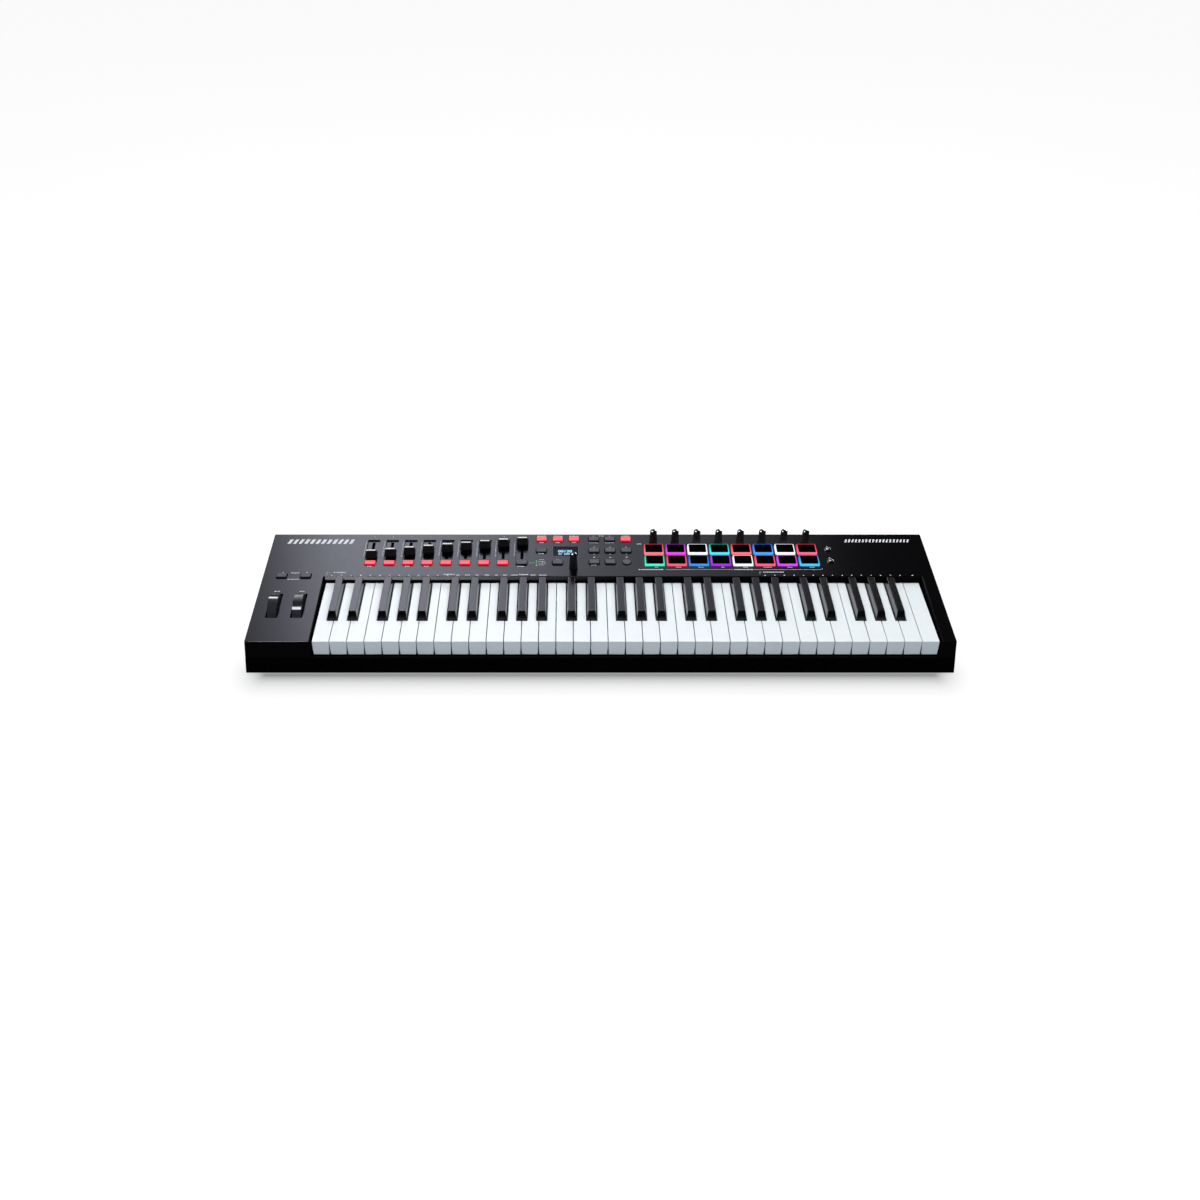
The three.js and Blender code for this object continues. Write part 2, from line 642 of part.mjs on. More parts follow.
function addKeypads() {
  const web = ([x, u]) => box(x, u, WEB);
  const rectCaps = (spots) => spots.map((spot) => cap(spot, BUTTON_SIZE));
  const faderCaps = faderButtons.map((spot) => cap(spot, FADER_BUTTON.size));
  add(panel, "fader_buttons", join(web(FADER_BUTTON_WEB), ...faderCaps), RED_LIT);
  add(panel, "bank_buttons", join(...BANK_WEBS.map(web), ...rectCaps(BANK_BUTTONS)), RED_LIT);

  const record = roundCap(transportButtons[RECORD_BUTTON], RECORD_RADIUS);
  const transport = join(web(TRANSPORT_WEB), ...rectCaps(transportButtons.slice(0, RECORD_BUTTON)), record);
  add(panel, "transport_buttons", transport, RUBBER);
  add(panel, "octave_buttons", join(web(OCTAVE_WEB), ...rectCaps(OCTAVE_BUTTONS)), RUBBER);

  const sceneCaps = SCENE_BUTTONS.map((spot) => roundCap(spot, SCENE_RADIUS));
  add(panel, "scene_buttons", join(web(SCENE_WEB), ...sceneCaps), RUBBER);

  for (const [row, u] of Object.entries(PAD_ROWS)) add(panel, `${row}_pad_row`, padRow(u), RUBBER);
}

// The board with the fader bodies and the pots that are soldered to it.
function mainBoard() {
  const slab = [BOARD_TOP_W - BOARD_THICKNESS, BOARD_TOP_W];
  const { half, u, height } = FADER_BODY;
  const seat = BOARD_TOP_W - 0.5;
  const slabs = BOARD_AREAS.map(([x, y]) => box(x, y, slab));
  const faderBody = (i) => box(around(faderX(i), half), u, [seat, BOARD_TOP_W + height]);
  const pot = (spot) => post(spot, POT_BODY.size, [seat, BOARD_TOP_W + POT_BODY.height]);
  const potSpots = [...padColumns.map((i) => [padX(i), KNOB_U]), SELECT_KNOB];
  return join(...slabs, ...faders.map(faderBody), ...potSpots.map(pot));
}

function addDisplay() {
  const spot = [DISPLAY.x, DISPLAY.u];
  const frame = join(
    post(spot, grown(DISPLAY.size, -0.8), [BOARD_TOP_W + 0.3, -3.2]),
    post(spot, DISPLAY_GLASS, [-3.3, -2.4]),
  );
  add(panel, "display_module", frame, SCREEN);
  add(panel, "display_lens", join(post(spot, grown(DISPLAY.size, -0.35), [-2, -0.2])), GLASS);
}

// ---------------------------------------------------------------- wheels
const WHEEL_CENTRE = new THREE.Vector3(0, WHEEL_U, WHEEL_PROUD - WHEEL_RADIUS).applyMatrix4(panel.matrix);
const WHEEL_Y = WHEEL_CENTRE.y;
const WHEEL_Z = WHEEL_CENTRE.z;

// A round solid along the wheels' axle, centred on it.
function sideways(radius, half, sides) {
  return new THREE.CylinderGeometry(radius, radius, 2 * half, sides).rotateZ(Math.PI / 2);
}

function addWheels() {
  for (const [name, x] of Object.entries(WHEEL_XS)) {
    const angle = THREE.MathUtils.degToRad(NOTCH_ANGLES[name]);
    const disc = sideways(WHEEL_RADIUS, WHEEL_HALF_WIDTH, 44);
    const axle = sideways(AXLE_RADIUS, AXLE_REACH, 16);
    const notch = sideways(NOTCH_RADIUS, 10, 20);
    notch.translate(0, -Math.cos(angle) * NOTCH_REACH, Math.sin(angle) * NOTCH_REACH);
    const wheel = add(keyboard, name, cut(join(disc, axle), notch), PLASTIC);
    wheel.position.set(x, WHEEL_Y, WHEEL_Z);
  }
}

// Three cheeks that carry the wheels' axles, tied by a bar in front and one behind.
function wheelBracket() {
  const middle = (WHEEL_XS.pitch_wheel + WHEEL_XS.mod_wheel) / 2;
  const outerLeft = WHEEL_XS.pitch_wheel - (middle - WHEEL_XS.pitch_wheel);
  const outerRight = WHEEL_XS.mod_wheel + (WHEEL_XS.mod_wheel - middle);
  const [front, back] = [WHEEL_Y - WHEEL_RADIUS - CHEEK_MARGIN, WHEEL_Y + WHEEL_RADIUS + CHEEK_MARGIN];
  const cheeks = [outerLeft, middle, outerRight].map((x) =>
    box([x - CHEEK_HALF, x + CHEEK_HALF], [front, back], [FOOT_HEIGHT + WALL, CHEEK_TOP_Z]),
  );
  const ties = [front + TIE_HALF, back - TIE_HALF].map((y) =>
    box([outerLeft, outerRight], [y - TIE_HALF, y + TIE_HALF], TIE_Z),
  );
  const bore = new THREE.CylinderGeometry(AXLE_RADIUS + 0.35, AXLE_RADIUS + 0.35, 120, 20)
    .rotateZ(Math.PI / 2)
    .translate(middle, WHEEL_Y, WHEEL_Z);
  return cut(join(...cheeks, ...ties), bore);
}

// ---------------------------------------------------------------- back sockets and switch
const REAR_OUT = CASE_HALF_DEPTH - REAR_STEP;
const REAR_IN = CASE_HALF_DEPTH - WALL;

function jackBlock() {
  const { margin, depth, halfHeight } = JACK_BLOCK;
  const across = [JACK_XS[0] - margin, JACK_XS[JACK_XS.length - 1] + margin];
  const block = box(across, [REAR_IN - depth, REAR_IN - 0.3], [REAR_Z - halfHeight, REAR_Z + halfHeight]);
  const barrels = JACK_XS.map((x) => rearBarrel(JACK_RADIUS, [REAR_IN - 2, REAR_OUT], x, REAR_Z));
  const boreY = [REAR_IN - 22, REAR_OUT + 1];
  const bores = JACK_XS.map((x) => rearBarrel(JACK_BORE_RADIUS, boreY, x, REAR_Z, 14));
  return cut(join(block, ...barrels), ...bores);
}

function midiSocket() {
  const barrel = (radius, depths) => rearBarrel(radius, depths, MIDI_X, REAR_Z, 28);
  const body = rearBox(MIDI_X, MIDI_BODY.half, [REAR_IN - MIDI_BODY.depth, REAR_IN - 0.3]);
  const [inner, outer] = MIDI_GROOVE;
  const ring = join(barrel(outer, [REAR_IN - 6, REAR_OUT + 1]));
  const groove = cut(ring, barrel(inner, [REAR_IN - 8, REAR_OUT - 0.4]));
  const pins = MIDI_PIN_DEGREES.map((degrees) => {
    const angle = THREE.MathUtils.degToRad(degrees);
    const x = MIDI_X + MIDI_PIN_CIRCLE * Math.sin(angle);
    const z = REAR_Z - MIDI_PIN_CIRCLE * Math.cos(angle);
    return rearBarrel(MIDI_PIN_RADIUS, [REAR_IN - 4, REAR_OUT + 1], x, z, 8);
  });
  const socket = join(body, barrel(MIDI_RADIUS, [REAR_IN - 2, REAR_OUT]));
  return cut(socket.subtract(groove), ...pins);
}

function usbSocket() {
  const shell = join(rearBox(USB_X, USB_HALF, [REAR_IN - USB_DEPTH, REAR_OUT]));
  const mouth = rearBox(USB_X, USB_MOUTH_HALF, [REAR_IN - 8, REAR_OUT + 1]);
  const tongue = rearBox(USB_X, USB_TONGUE_HALF, [REAR_IN - 9, REAR_OUT - 1.5]);
  return cut(shell, mouth).add(solid(tongue));
}

// The rocker is a shallow vee that stands with its far half pressed in.
function rocker() {
  const [halfWidth, halfHeight] = ROCKER_HALF;
  const outline = [
    [-halfWidth, -2],
    [halfWidth, -2],
    [halfWidth, 0.2],
    [0, -0.8],
    [-halfWidth, 0.2],
  ];
  return join(prism(outline, -halfHeight, halfHeight), box([-2, 2], [-8, -1], [-4, 4]));
}

function addRear() {
  add(keyboard, "pedal_jack_block", jackBlock(), PLASTIC);
  add(keyboard, "midi_socket", midiSocket(), PLASTIC);
  add(keyboard, "usb_socket", usbSocket(), METAL);
  const made = add(keyboard, "power_switch", rocker(), RUBBER);
  made.rotation.z = SWITCH_TILT;
  made.position.set(SWITCH_X, REAR_OUT - 1.4, REAR_Z);
}

// ---------------------------------------------------------------- assembly
add(keyboard, "bottom_case", bottomCase(), PLASTIC);
add(keyboard, "top_case", topCase(), PLASTIC);
add(keyboard, "key_bed_frame", keyBedFrame(), METAL);
add(keyboard, "key_contact_board", contactBoard(), BOARD_GREEN);
add(keyboard, "contact_rubber_strip", contactRubber(), RUBBER);
add(keyboard, "wheel_bracket", wheelBracket(), PLASTIC);
add(panel, "main_board", mainBoard(), BOARD_GREEN);
for (const [name, spot] of Object.entries(FOOT_SPOTS)) {
  add(keyboard, name, join(upright(FOOT_RADIUS, [0, FOOT_HEIGHT], spot, 24)), RUBBER);
}
addDisplay();
addKeys();
addWheels();
addFaders();
addKnobs();
addKeypads();
addRear();

export default keyboard;
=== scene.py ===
"""Looks for a 61-key controller keyboard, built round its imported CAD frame."""

import json
from math import atan2, copysign, cos, pi, radians, sin, sqrt, tan, tau

import bmesh
import bpy
from mathutils import Matrix, Vector

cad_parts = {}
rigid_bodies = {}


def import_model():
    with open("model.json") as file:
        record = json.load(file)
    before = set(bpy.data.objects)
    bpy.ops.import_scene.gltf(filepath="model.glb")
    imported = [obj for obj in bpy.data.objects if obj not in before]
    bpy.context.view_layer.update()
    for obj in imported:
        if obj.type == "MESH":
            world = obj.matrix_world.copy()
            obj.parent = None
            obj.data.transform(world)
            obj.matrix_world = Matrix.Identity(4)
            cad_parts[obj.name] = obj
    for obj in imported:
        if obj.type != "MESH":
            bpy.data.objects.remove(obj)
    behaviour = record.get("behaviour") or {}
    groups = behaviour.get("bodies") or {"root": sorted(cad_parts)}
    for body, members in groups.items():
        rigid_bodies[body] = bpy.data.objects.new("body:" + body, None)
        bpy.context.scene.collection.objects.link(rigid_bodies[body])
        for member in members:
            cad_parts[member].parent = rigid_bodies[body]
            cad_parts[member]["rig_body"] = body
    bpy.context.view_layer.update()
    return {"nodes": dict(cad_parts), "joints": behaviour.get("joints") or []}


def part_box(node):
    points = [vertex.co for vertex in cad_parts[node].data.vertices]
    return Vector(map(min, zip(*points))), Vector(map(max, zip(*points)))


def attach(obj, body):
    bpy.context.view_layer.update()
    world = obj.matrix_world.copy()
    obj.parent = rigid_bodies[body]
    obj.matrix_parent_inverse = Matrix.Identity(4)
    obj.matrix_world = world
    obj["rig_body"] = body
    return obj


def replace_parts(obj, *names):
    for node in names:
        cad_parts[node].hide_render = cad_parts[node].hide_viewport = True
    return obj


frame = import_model()

MM = 0.001
CASE = "case"

# ---- the panel's own frame
JOINTS = {j["name"]: j for j in frame["joints"]}
UP_SLOPE = JOINTS["fader_1_slide"]["axis"]
SLOPE = atan2(UP_SLOPE[2], UP_SLOPE[1])
KNOB_SPOT = JOINTS["knob_1_turn"]["pos_m"]
PANEL_Z = KNOB_SPOT[2] - KNOB_SPOT[1] * tan(SLOPE)
PANEL = Matrix.Translation((0, 0, PANEL_Z)) @ Matrix.Rotation(SLOPE, 4, "X")
LEVEL = Matrix.Identity(4)

# Millimetres: x across, u up the slope, as the CAD has them.
FADER_XS = [-328.2 + 27.22 * i for i in range(9)]
FADER_US = [70.7 + 4 * i for i in range(9)]
FADER_BUTTON_SPOTS = [(x, 52.8) for x in FADER_XS]
PAD_XS = [81.2 + 31.8 * i for i in range(8)]
PAD_US = {"upper": 86.3, "lower": 58.0}
BANK_SPOTS = [(-82.3, 112), (-58.6, 112), (-34.9, 112), (-82.3, 83.5), (-58.6, 54)]
TRANSPORT_SPOTS = [(x, u) for u in (112, 83.5, 55) for x in (-5.8, 17.5, 41)]
OCTAVE_SPOTS = [(-450.4, 22), (-416.2, 22)]
SCENE_SPOTS = [(334, 86.5), (334, 57.7)]
KNOB_SPOTS = [(x, 105.5) for x in PAD_XS]
SELECT_SPOT = (-35.9, 42.5)
DISPLAY_SPOT = (-47, 83)
WHEEL_SPOTS = [(-450.2, -46.9), (-416, -46.9)]

# Caps, and the gap that the panel leaves round each.
FADER_BUTTON_SIZE, BUTTON_SIZE = (16, 9.3), (15.2, 10.4)
PAD_SIZE, PAD_TOP_SIZE = (28.4, 23.6), (25.2, 20.2)
ROUND_BUTTON_RADIUS, SCENE_RADIUS = 6.4, 5.4
GAP = 0.45

KEY_PITCH = 23.5
KEYS_LEFT = -389
KEYS_RIGHT = KEYS_LEFT + 36 * KEY_PITCH
KEY_CRACK = 1.0
BLACK_OFFSETS = {0: -2.2, 1: 2.2, 3: -3.8, 4: 0, 5: 3.8}
WHITE_COMBS = ("c_e_g_b", "d_f_a", "c_e_g_b", "d_f_a", "c_e_g_b", "d_f_a", "c_e_g_b")
BAR_ZS = {"c_e_g_b": 34, "d_f_a": 39.2, "black": 44.4}


def panel_y(u, w):
    """World y, in millimetres, of a point on the panel."""
    return (PANEL @ Vector((0, u * MM, w * MM))).y / MM


# ---- materials
def linear(colour, factor=1):
    """An 8-bit screen colour as Blender's linear one, times a factor."""
    out = []
    for v in colour:
        v /= 255
        v = v / 12.92 if v <= 0.04045 else ((v + 0.055) / 1.055) ** 2.4
        out.append(min(1, v * factor))
    return (*out, 1)


class Tree:
    """A node tree, with helpers that add nodes to it."""

    def __init__(self, owner):
        owner.use_nodes = True
        self.tree = owner.node_tree

    def plug(self, value, socket):
        """An output is linked to the socket; anything else becomes its value."""
        if isinstance(value, bpy.types.NodeSocket):
            self.tree.links.new(value, socket)
        else:
            socket.default_value = value

    def add(self, kind, inputs=None, **settings):
        node = self.tree.nodes.new(f"ShaderNode{kind}")
        for key, value in settings.items():
            setattr(node, key, value)
        for key, value in (inputs or {}).items():
            self.plug(value, node.inputs[key])
        return node

    def maths(self, operation, *values):
        return self.add("Math", dict(enumerate(values)), operation=operation).outputs[0]

    def vector(self, operation, *values):
        return self.add("VectorMath", dict(enumerate(values)), operation=operation).outputs[0]

    def split(self, vector, axis):
        return self.add("SeparateXYZ", {"Vector": vector}).outputs[axis]


class Nodes(Tree):
    """A material being wired, which ends in one principled shader."""

    def __init__(self, name):
        self.material = bpy.data.materials.new(name)
        super().__init__(self.material)
        self.shader = self.tree.nodes["Principled BSDF"]
        self.where = self.add("TexCoord").outputs["Object"]

    def noise(self, size, detail=2.0, stretch=None):
        where = self.where
        if stretch:
            where = self.add("Mapping", {"Vector": where, "Scale": stretch}).outputs[0]
        return self.add("TexNoise", {"Vector": where, "Scale": 1 / size, "Detail": detail}).outputs["Fac"]

    def between(self, value, low, high, start=0.3, stop=0.7):
        inputs = {"Value": value, "From Min": start, "From Max": stop, "To Min": low, "To Max": high}
        return self.add("MapRange", inputs).outputs[0]

    def mix(self, amount, a, b):
        return self.add("Mix", {0: amount, 6: a, 7: b}, data_type="RGBA").outputs[2]

    def upward(self):
        """1 on faces that look up, 0 on side walls."""
        facing = self.add("NewGeometry").outputs["Normal"]
        return self.between(self.split(facing, "Z"), 0, 1, 0.35, 0.95)

    def feed(self, **inputs):
        for key, value in inputs.items():
            self.plug(value, self.shader.inputs[key.replace("_", " ")])

    def bump(self, height, strength, depth):
        node = self.add("Bump", {"Height": height, "Strength": strength, "Distance": depth * MM})
        self.feed(Normal=node.outputs[0])


def moulded(name, colour, rough, grain=0.12, grain_size=0.5, specular=0.5, sheen=0.0, side=1.0):
    """Injection-moulded plastic or rubber: a fine spark texture, faint blotches and uneven gloss.

    Faces that don't look up are side times as bright: painted shade on the skirts of caps.
    """
    n = Nodes(name)
    tone = n.mix(n.between(n.noise(38 * MM, 3), 0, 1), linear(colour, 0.9), linear(colour, 1.1))
    # Painted shade: faces that don't look up are darkened by the side factor.
    if side < 1:
        tone = n.mix(n.upward(), linear(colour, side), tone)
    n.feed(Base_Color=tone, Roughness=n.between(n.noise(9 * MM, 4), rough * 0.94, rough * 1.07))
    n.feed(Specular_IOR_Level=specular)
    if sheen:
        n.feed(Sheen_Weight=sheen, Sheen_Roughness=0.4)
    n.bump(n.noise(grain_size * MM, 1), grain, 0.05)
    return n.material


def polished(name, colour, rough):
    """Polished plastic of the keys: nearly flat, with faint sink waviness and handling smears."""
    n = Nodes(name)
    tone = n.mix(n.between(n.noise(25 * MM, 2), 0, 1), linear(colour, 0.985), linear(colour, 1.01))
    smear = n.noise(14 * MM, 5, (1, 0.25, 1))
    n.feed(Base_Color=tone, Roughness=n.between(smear, rough * 0.88, rough * 1.15))
    n.feed(Coat_Weight=0.1, Coat_Roughness=0.12, Specular_IOR_Level=0.25)
    n.bump(n.noise(30 * MM, 1), 0.04, 0.05)
    return n.material


def metal(name, colour, rough, stretch=(1, 1, 1)):
    """Bare metal with streaks, which run along an axis where stretch is below 1."""
    n = Nodes(name)
    streak = n.noise(1.2 * MM, 4, stretch)
    n.feed(Base_Color=n.mix(n.between(streak, 0, 1), linear(colour, 0.88), linear(colour, 1.08)))
    n.feed(Metallic=1.0, Roughness=n.between(streak, rough * 0.7, rough * 1.3))
    n.bump(streak, 0.08, 0.03)
    return n.material


def lit(name, far, near, strength, span, side=None):
    """Translucent silicone with light under it.

    The colour runs from far to near over a span of the panel, (its middle, half its depth, its height).
    A side colour, where one is given, shows on the faces that don't look up, as painted shade on the sides.
    """
    n = Nodes(name)
    middle, half, height = span
    low, high = panel_y(middle - half, height), panel_y(middle + half, height)
    across = n.between(n.split(n.where, "Y"), 1, 0, low * MM, high * MM)
    patchy = n.between(n.noise(3 * MM, 2), 0.9, 1.08)
    colour = n.mix(across, linear(far), linear(near))
    # Painted shade: the faces that don't look up take the darker side colour.
    if side:
        colour = n.mix(n.upward(), linear(side), colour)
    glow = n.maths("MULTIPLY", patchy, strength)
    n.feed(Base_Color=n.mix(0.75, colour, (0, 0, 0, 1)), Roughness=n.between(n.noise(2 * MM, 3), 0.32, 0.48))
    n.feed(Emission_Color=colour, Emission_Strength=glow, Specular_IOR_Level=0.25)
    n.bump(n.noise(0.4 * MM, 1), 0.08, 0.04)
    return n.material


def printed(name, colour, rough=0.5):
    """Screen-printed ink: slightly uneven cover."""
    n = Nodes(name)
    cover = n.between(n.noise(0.7 * MM, 3), 0, 1)
    gloss = n.between(n.noise(0.5 * MM, 2), rough * 0.8, rough * 1.2)
    n.feed(Base_Color=n.mix(cover, linear(colour, 0.82), linear(colour)), Roughness=gloss)
    return n.material


def circuit(name):
    """Near-black solder mask with darker tracks."""
    n = Nodes(name)
    cells = {"Vector": n.where, "Scale": 1 / (5 * MM)}
    tracks = n.add("TexVoronoi", cells, feature="DISTANCE_TO_EDGE", distance="MANHATTAN")
    line = n.between(tracks.outputs["Distance"], 0, 1, 0.04, 0.08)
    tone = n.mix(line, linear((7, 16, 11)), linear((4, 10, 7)))
    n.feed(Base_Color=tone, Roughness=n.between(n.noise(4 * MM, 3), 0.4, 0.6), Specular_IOR_Level=0.03)
    return n.material


def window(name):
    """Smoked clear window, lightly smeared."""
    n = Nodes(name)
    n.feed(Base_Color=linear((20, 24, 30)), Roughness=n.between(n.noise(8 * MM, 4), 0.03, 0.12))
    n.feed(Specular_IOR_Level=0.2)
    clear = n.add("BsdfTransparent", {"Color": linear((225, 230, 240))})
    mixed = n.add("MixShader", {0: 0.62, 1: n.shader.outputs[0], 2: clear.outputs[0]})
    n.plug(mixed.outputs[0], n.tree.nodes["Material Output"].inputs["Surface"])
    return n.material


PANEL_PLASTIC = moulded("panel_plastic", (4, 4, 5), 0.21, grain=0.09, grain_size=0.45)
CASE_PLASTIC = moulded("case_plastic", (3, 3, 4), 0.45, grain=0.2, specular=0.04)
WELL_PLASTIC = moulded("well_wall_plastic", (3, 3, 4), 0.6, grain=0.2, specular=0.01)
STRIP_PLASTIC = moulded("fallboard_strip_plastic", (8, 8, 9), 0.6, grain=0.1, specular=0.02)
WHITE_KEY = polished("white_key_plastic", (240, 246, 248), 0.24)
BLACK_KEY = moulded("black_key_plastic", (5, 5, 6), 0.21, grain=0.05, grain_size=0.35)
BLACK_PLASTIC = moulded("control_plastic", (13, 13, 14), 0.36, grain=0.08, grain_size=0.3)
WHEEL_PLASTIC = moulded("wheel_plastic", (34, 35, 40), 0.4, grain=0.1, grain_size=0.3)
GLOSS_BLACK = moulded("gloss_cap_plastic", (14, 14, 15), 0.12, 0.02, 0.3, specular=0.6)
SOFT_TOUCH = moulded("soft_touch_rubber", (13, 13, 14), 0.5, 0.2, 0.3, specular=0.35, sheen=0.1)
PAD_RUBBER = moulded("pad_rubber", (3, 3, 3), 0.7, 0.22, 0.35, specular=0.02)
# The button caps' skirts are a tenth as bright as their tops: painted shade.
BUTTON_RUBBER = moulded("button_rubber", (88, 88, 94), 0.5, 0.15, 0.3, specular=0.4, side=0.1)
FOOT_RUBBER = moulded("foot_rubber", (24, 24, 24), 0.75, 0.3, 0.6, specular=0.3)
WEB_RUBBER = moulded("web_rubber", (28, 28, 30), 0.7, 0.2, 0.6, specular=0.3)
# Painted shade: a near-black matte finish for the strip that darkens the gap under the fallboard.
GAP_SHADE_BLACK = moulded("black_felt", (4, 4, 4), 0.95, 0.5, 0.25, specular=0.02)
PLATE_FILM = moulded("rating_plate_film", (30, 30, 32), 0.42, 0.06, 0.4, specular=0.4)
SCREEN_BACK = moulded("display_glass_back", (12, 15, 20), 0.3, grain=0.02, specular=0.2)
WHITE_INSERT = printed("white_insert", (238, 240, 242), 0.35)
WHITE_INK = printed("white_ink", (236, 238, 242))
GREY_INK = printed("grey_ink", (206, 207, 214))
DARK_INK = printed("dark_grey_ink", (112, 114, 120))
STEEL = metal("folded_steel", (176, 178, 182), 0.35, (0.1, 1, 1))
SHELL_STEEL = metal("socket_steel", (196, 198, 202), 0.22)
SCREW_STEEL = metal("screw_steel", (86, 87, 90), 0.32)
BOARD = circuit("circuit_board")
LENS = window("display_window")


# ---- meshes
def linked(name, data):
    """A new object in the scene."""
    obj = bpy.data.objects.new(name, data)
    bpy.context.scene.collection.objects.link(obj)
    return obj


def mesh_of(name, verts, faces):
    """A mesh from vertices in millimetres."""
    mesh = bpy.data.meshes.new(name)
    mesh.from_pydata([Vector(v) * MM for v in verts], [], faces)
    return mesh


def result_of(obj):
    """The mesh that an object's curve or modifiers make."""
    bpy.context.view_layer.update()
    return bpy.data.meshes.new_from_object(obj.evaluated_get(bpy.context.evaluated_depsgraph_get()))


def piece(name, verts, faces, material, body, place=LEVEL, sharp=32):
    """A mesh in millimetres, moved by place and riding on a CAD body."""
    mesh = mesh_of(name, verts, faces)
    mesh.transform(place)
    mesh.shade_smooth()
    mesh.set_sharp_from_angle(angle=radians(sharp))
    mesh.materials.append(material)
    obj = linked(name, mesh)
    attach(obj, body)
    return level_flats(obj, True)


def level_flats(obj, keep_sharp):
    """Large flat faces keep their own normals, so that only the small rounding faces blend."""
    flat = obj.modifiers.new("flats", "WEIGHTED_NORMAL")
    flat.weight = 100
    flat.keep_sharp = keep_sharp
    return obj


def stacked(rings):
    """A closed solid through a stack of rings, lowest first, each anticlockwise from above."""
    n = len(rings[0])
    verts = [p for ring in rings for p in ring]
    faces = [tuple(reversed(range(n)))]
    for k in range(len(rings) - 1):
        for i in range(n):
            j = (i + 1) % n
            faces.append((k * n + i, k * n + j, (k + 1) * n + j, (k + 1) * n + i))
    faces.append(tuple(range((len(rings) - 1) * n, len(rings) * n)))
    return verts, faces


def merged(*solids):
    verts, faces = [], []
    for some, more in solids:
        base = len(verts)
        verts += some
        faces += [tuple(base + i for i in face) for face in more]
    return verts, faces


def rounded(spot, size, radius, z, steps=5):
    """A rectangle with round corners, anticlockwise."""
    (x, y), (w, d) = spot, size
    radius = min(radius, w / 2 - 0.01, d / 2 - 0.01)
    ring = []
    for sx, sy, start in ((1, 1, 0), (-1, 1, 90), (-1, -1, 180), (1, -1, 270)):
        cx, cy = x + sx * (w / 2 - radius), y + sy * (d / 2 - radius)
        for k in range(steps + 1):
            a = radians(start + 90 * k / steps)
            ring.append((cx + radius * cos(a), cy + radius * sin(a), z))
    return ring


def circle(spot, radius, z, steps=32, wobble=None):
    """A ring whose radius changes by wobble(angle), where that is given."""
    ring = []
    for k in range(steps):
        a = tau * k / steps
        r = radius + (wobble(a) if wobble else 0)
        ring.append((spot[0] + r * cos(a), spot[1] + r * sin(a), z))
    return ring


def block(spot, size, radius, profile, steps=5):
    """A rounded block through a profile of (height, inset) pairs."""
    w, d = size
    rings = [(z, (w - 2 * i, d - 2 * i), max(radius - i * 0.6, 0.3)) for z, i in profile]
    return stacked([rounded(spot, inner, corner, z, steps) for z, inner, corner in rings])


def turned(spot, profile, steps=32):
    """A round solid through (height, radius) pairs."""
    return stacked([circle(spot, r, z, steps) for z, r in profile])


def beam(x0, x1, y0, y1, z0, z1, radius=0.4, ease=0.25):
    """A level bar whose long edges are eased."""
    spot, size = ((x0 + x1) / 2, (y0 + y1) / 2), (x1 - x0, y1 - y0)
    return block(spot, size, radius, [(z0, ease), (z0 + ease, 0), (z1 - ease, 0), (z1, ease)], 2)


def bevelled(obj, width, segments=3):
    """Rounded edges, with the flat faces kept flat in shading."""
    mod = obj.modifiers.new("edges", "BEVEL")
    mod.width = width * MM
    mod.segments = segments
    mod.limit_method = "ANGLE"
    mod.angle_limit = radians(32)
    mod.miter_outer = "MITER_ARC"
    for old in [m for m in obj.modifiers if m.type == "WEIGHTED_NORMAL"]:
        obj.modifiers.remove(old)
    return level_flats(obj, False)


def refined(node, material, width, segments=2):
    """A CAD node's own shape with its flat faces made whole and its edges rounded, standing for that node."""
    source = frame["nodes"][node]
    bm = bmesh.new()
    bm.from_mesh(source.data)
    bmesh.ops.remove_doubles(bm, verts=bm.verts, dist=2e-6)
    bmesh.ops.dissolve_limit(bm, angle_limit=radians(0.6), verts=bm.verts, edges=bm.edges)
    mesh = bpy.data.meshes.new(f"{node}_shell")
    bm.to_mesh(mesh)
    bm.free()
    for polygon in mesh.polygons:
        polygon.use_smooth = True
    mesh.materials.append(material)
    obj = linked(f"{node}_shell", mesh)
    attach(obj, source["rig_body"])
    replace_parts(obj, node)
    return bevelled(obj, width, segments)


def paint(node, material):
    """A CAD node kept as it is, with a finish of its own."""
    materials = frame["nodes"][node].data.materials
    materials.clear()
    materials.append(material)


# ---- case
BOTTOM_HALF_WIDTH = 481.5
END_LEAN = 0.0736
HALF_DEPTH = 126
FOOT_HEIGHT = 4
WALL = 2.5
SEAM_Z = 30.5
WELL_LEFT, WELL_RIGHT = -391, 459
WELL_BACK = 21
REAR_Z = 44
RECESS_U, RECESS_SIZE, RECESS_DEPTH = 86.5, (17.6, 50), 2.2
SLOT_U, SLOT_SIZE = 87, (4, 42)
WHEEL_SLOT_SIZE = (16.2, 54.4)
SHAFT_HOLE_RADIUS = 4
# Openings in the back wall: x, (width, height), corner radius.
REAR_OPENINGS = [(x, (13.0, 13.0), 6.49) for x in (-305, -280, -255)]
REAR_OPENINGS += [(-345, (18.6, 18.6), 9.29), (-383, (13.2, 12), 0.8), (-420, (16.4, 10.4), 1)]
# Wide faces are divided here: between the controls, and through the wheels' slots.
SLICE_XS = [-450.2, -433.3, -416, -400] + [-341.8 + 27.22 * k for k in range(10)]
SLICE_XS += [-70.4, -46.9, -21.3, 5.9, 29.3, 56] + [97.1 + 31.8 * k for k in range(8)] + [350]
SLICE_US = [60.45, 72.15, 100.4]


def top_z(y):
    return PANEL_Z / MM + y * tan(SLOPE)


def case_ring(height, inset, radius):
    """A level or sloping slice of the case: height gives z from y, and the ends lean in with it."""
    ring = []
    for x, y, _ in rounded((0, 0), (2 * (BOTTOM_HALF_WIDTH - inset), 2 * (HALF_DEPTH - inset)), radius, 0, 4):
        z = height(y)
        ring.append((x - copysign((z - FOOT_HEIGHT) * END_LEAN, x), y, z))
    return ring


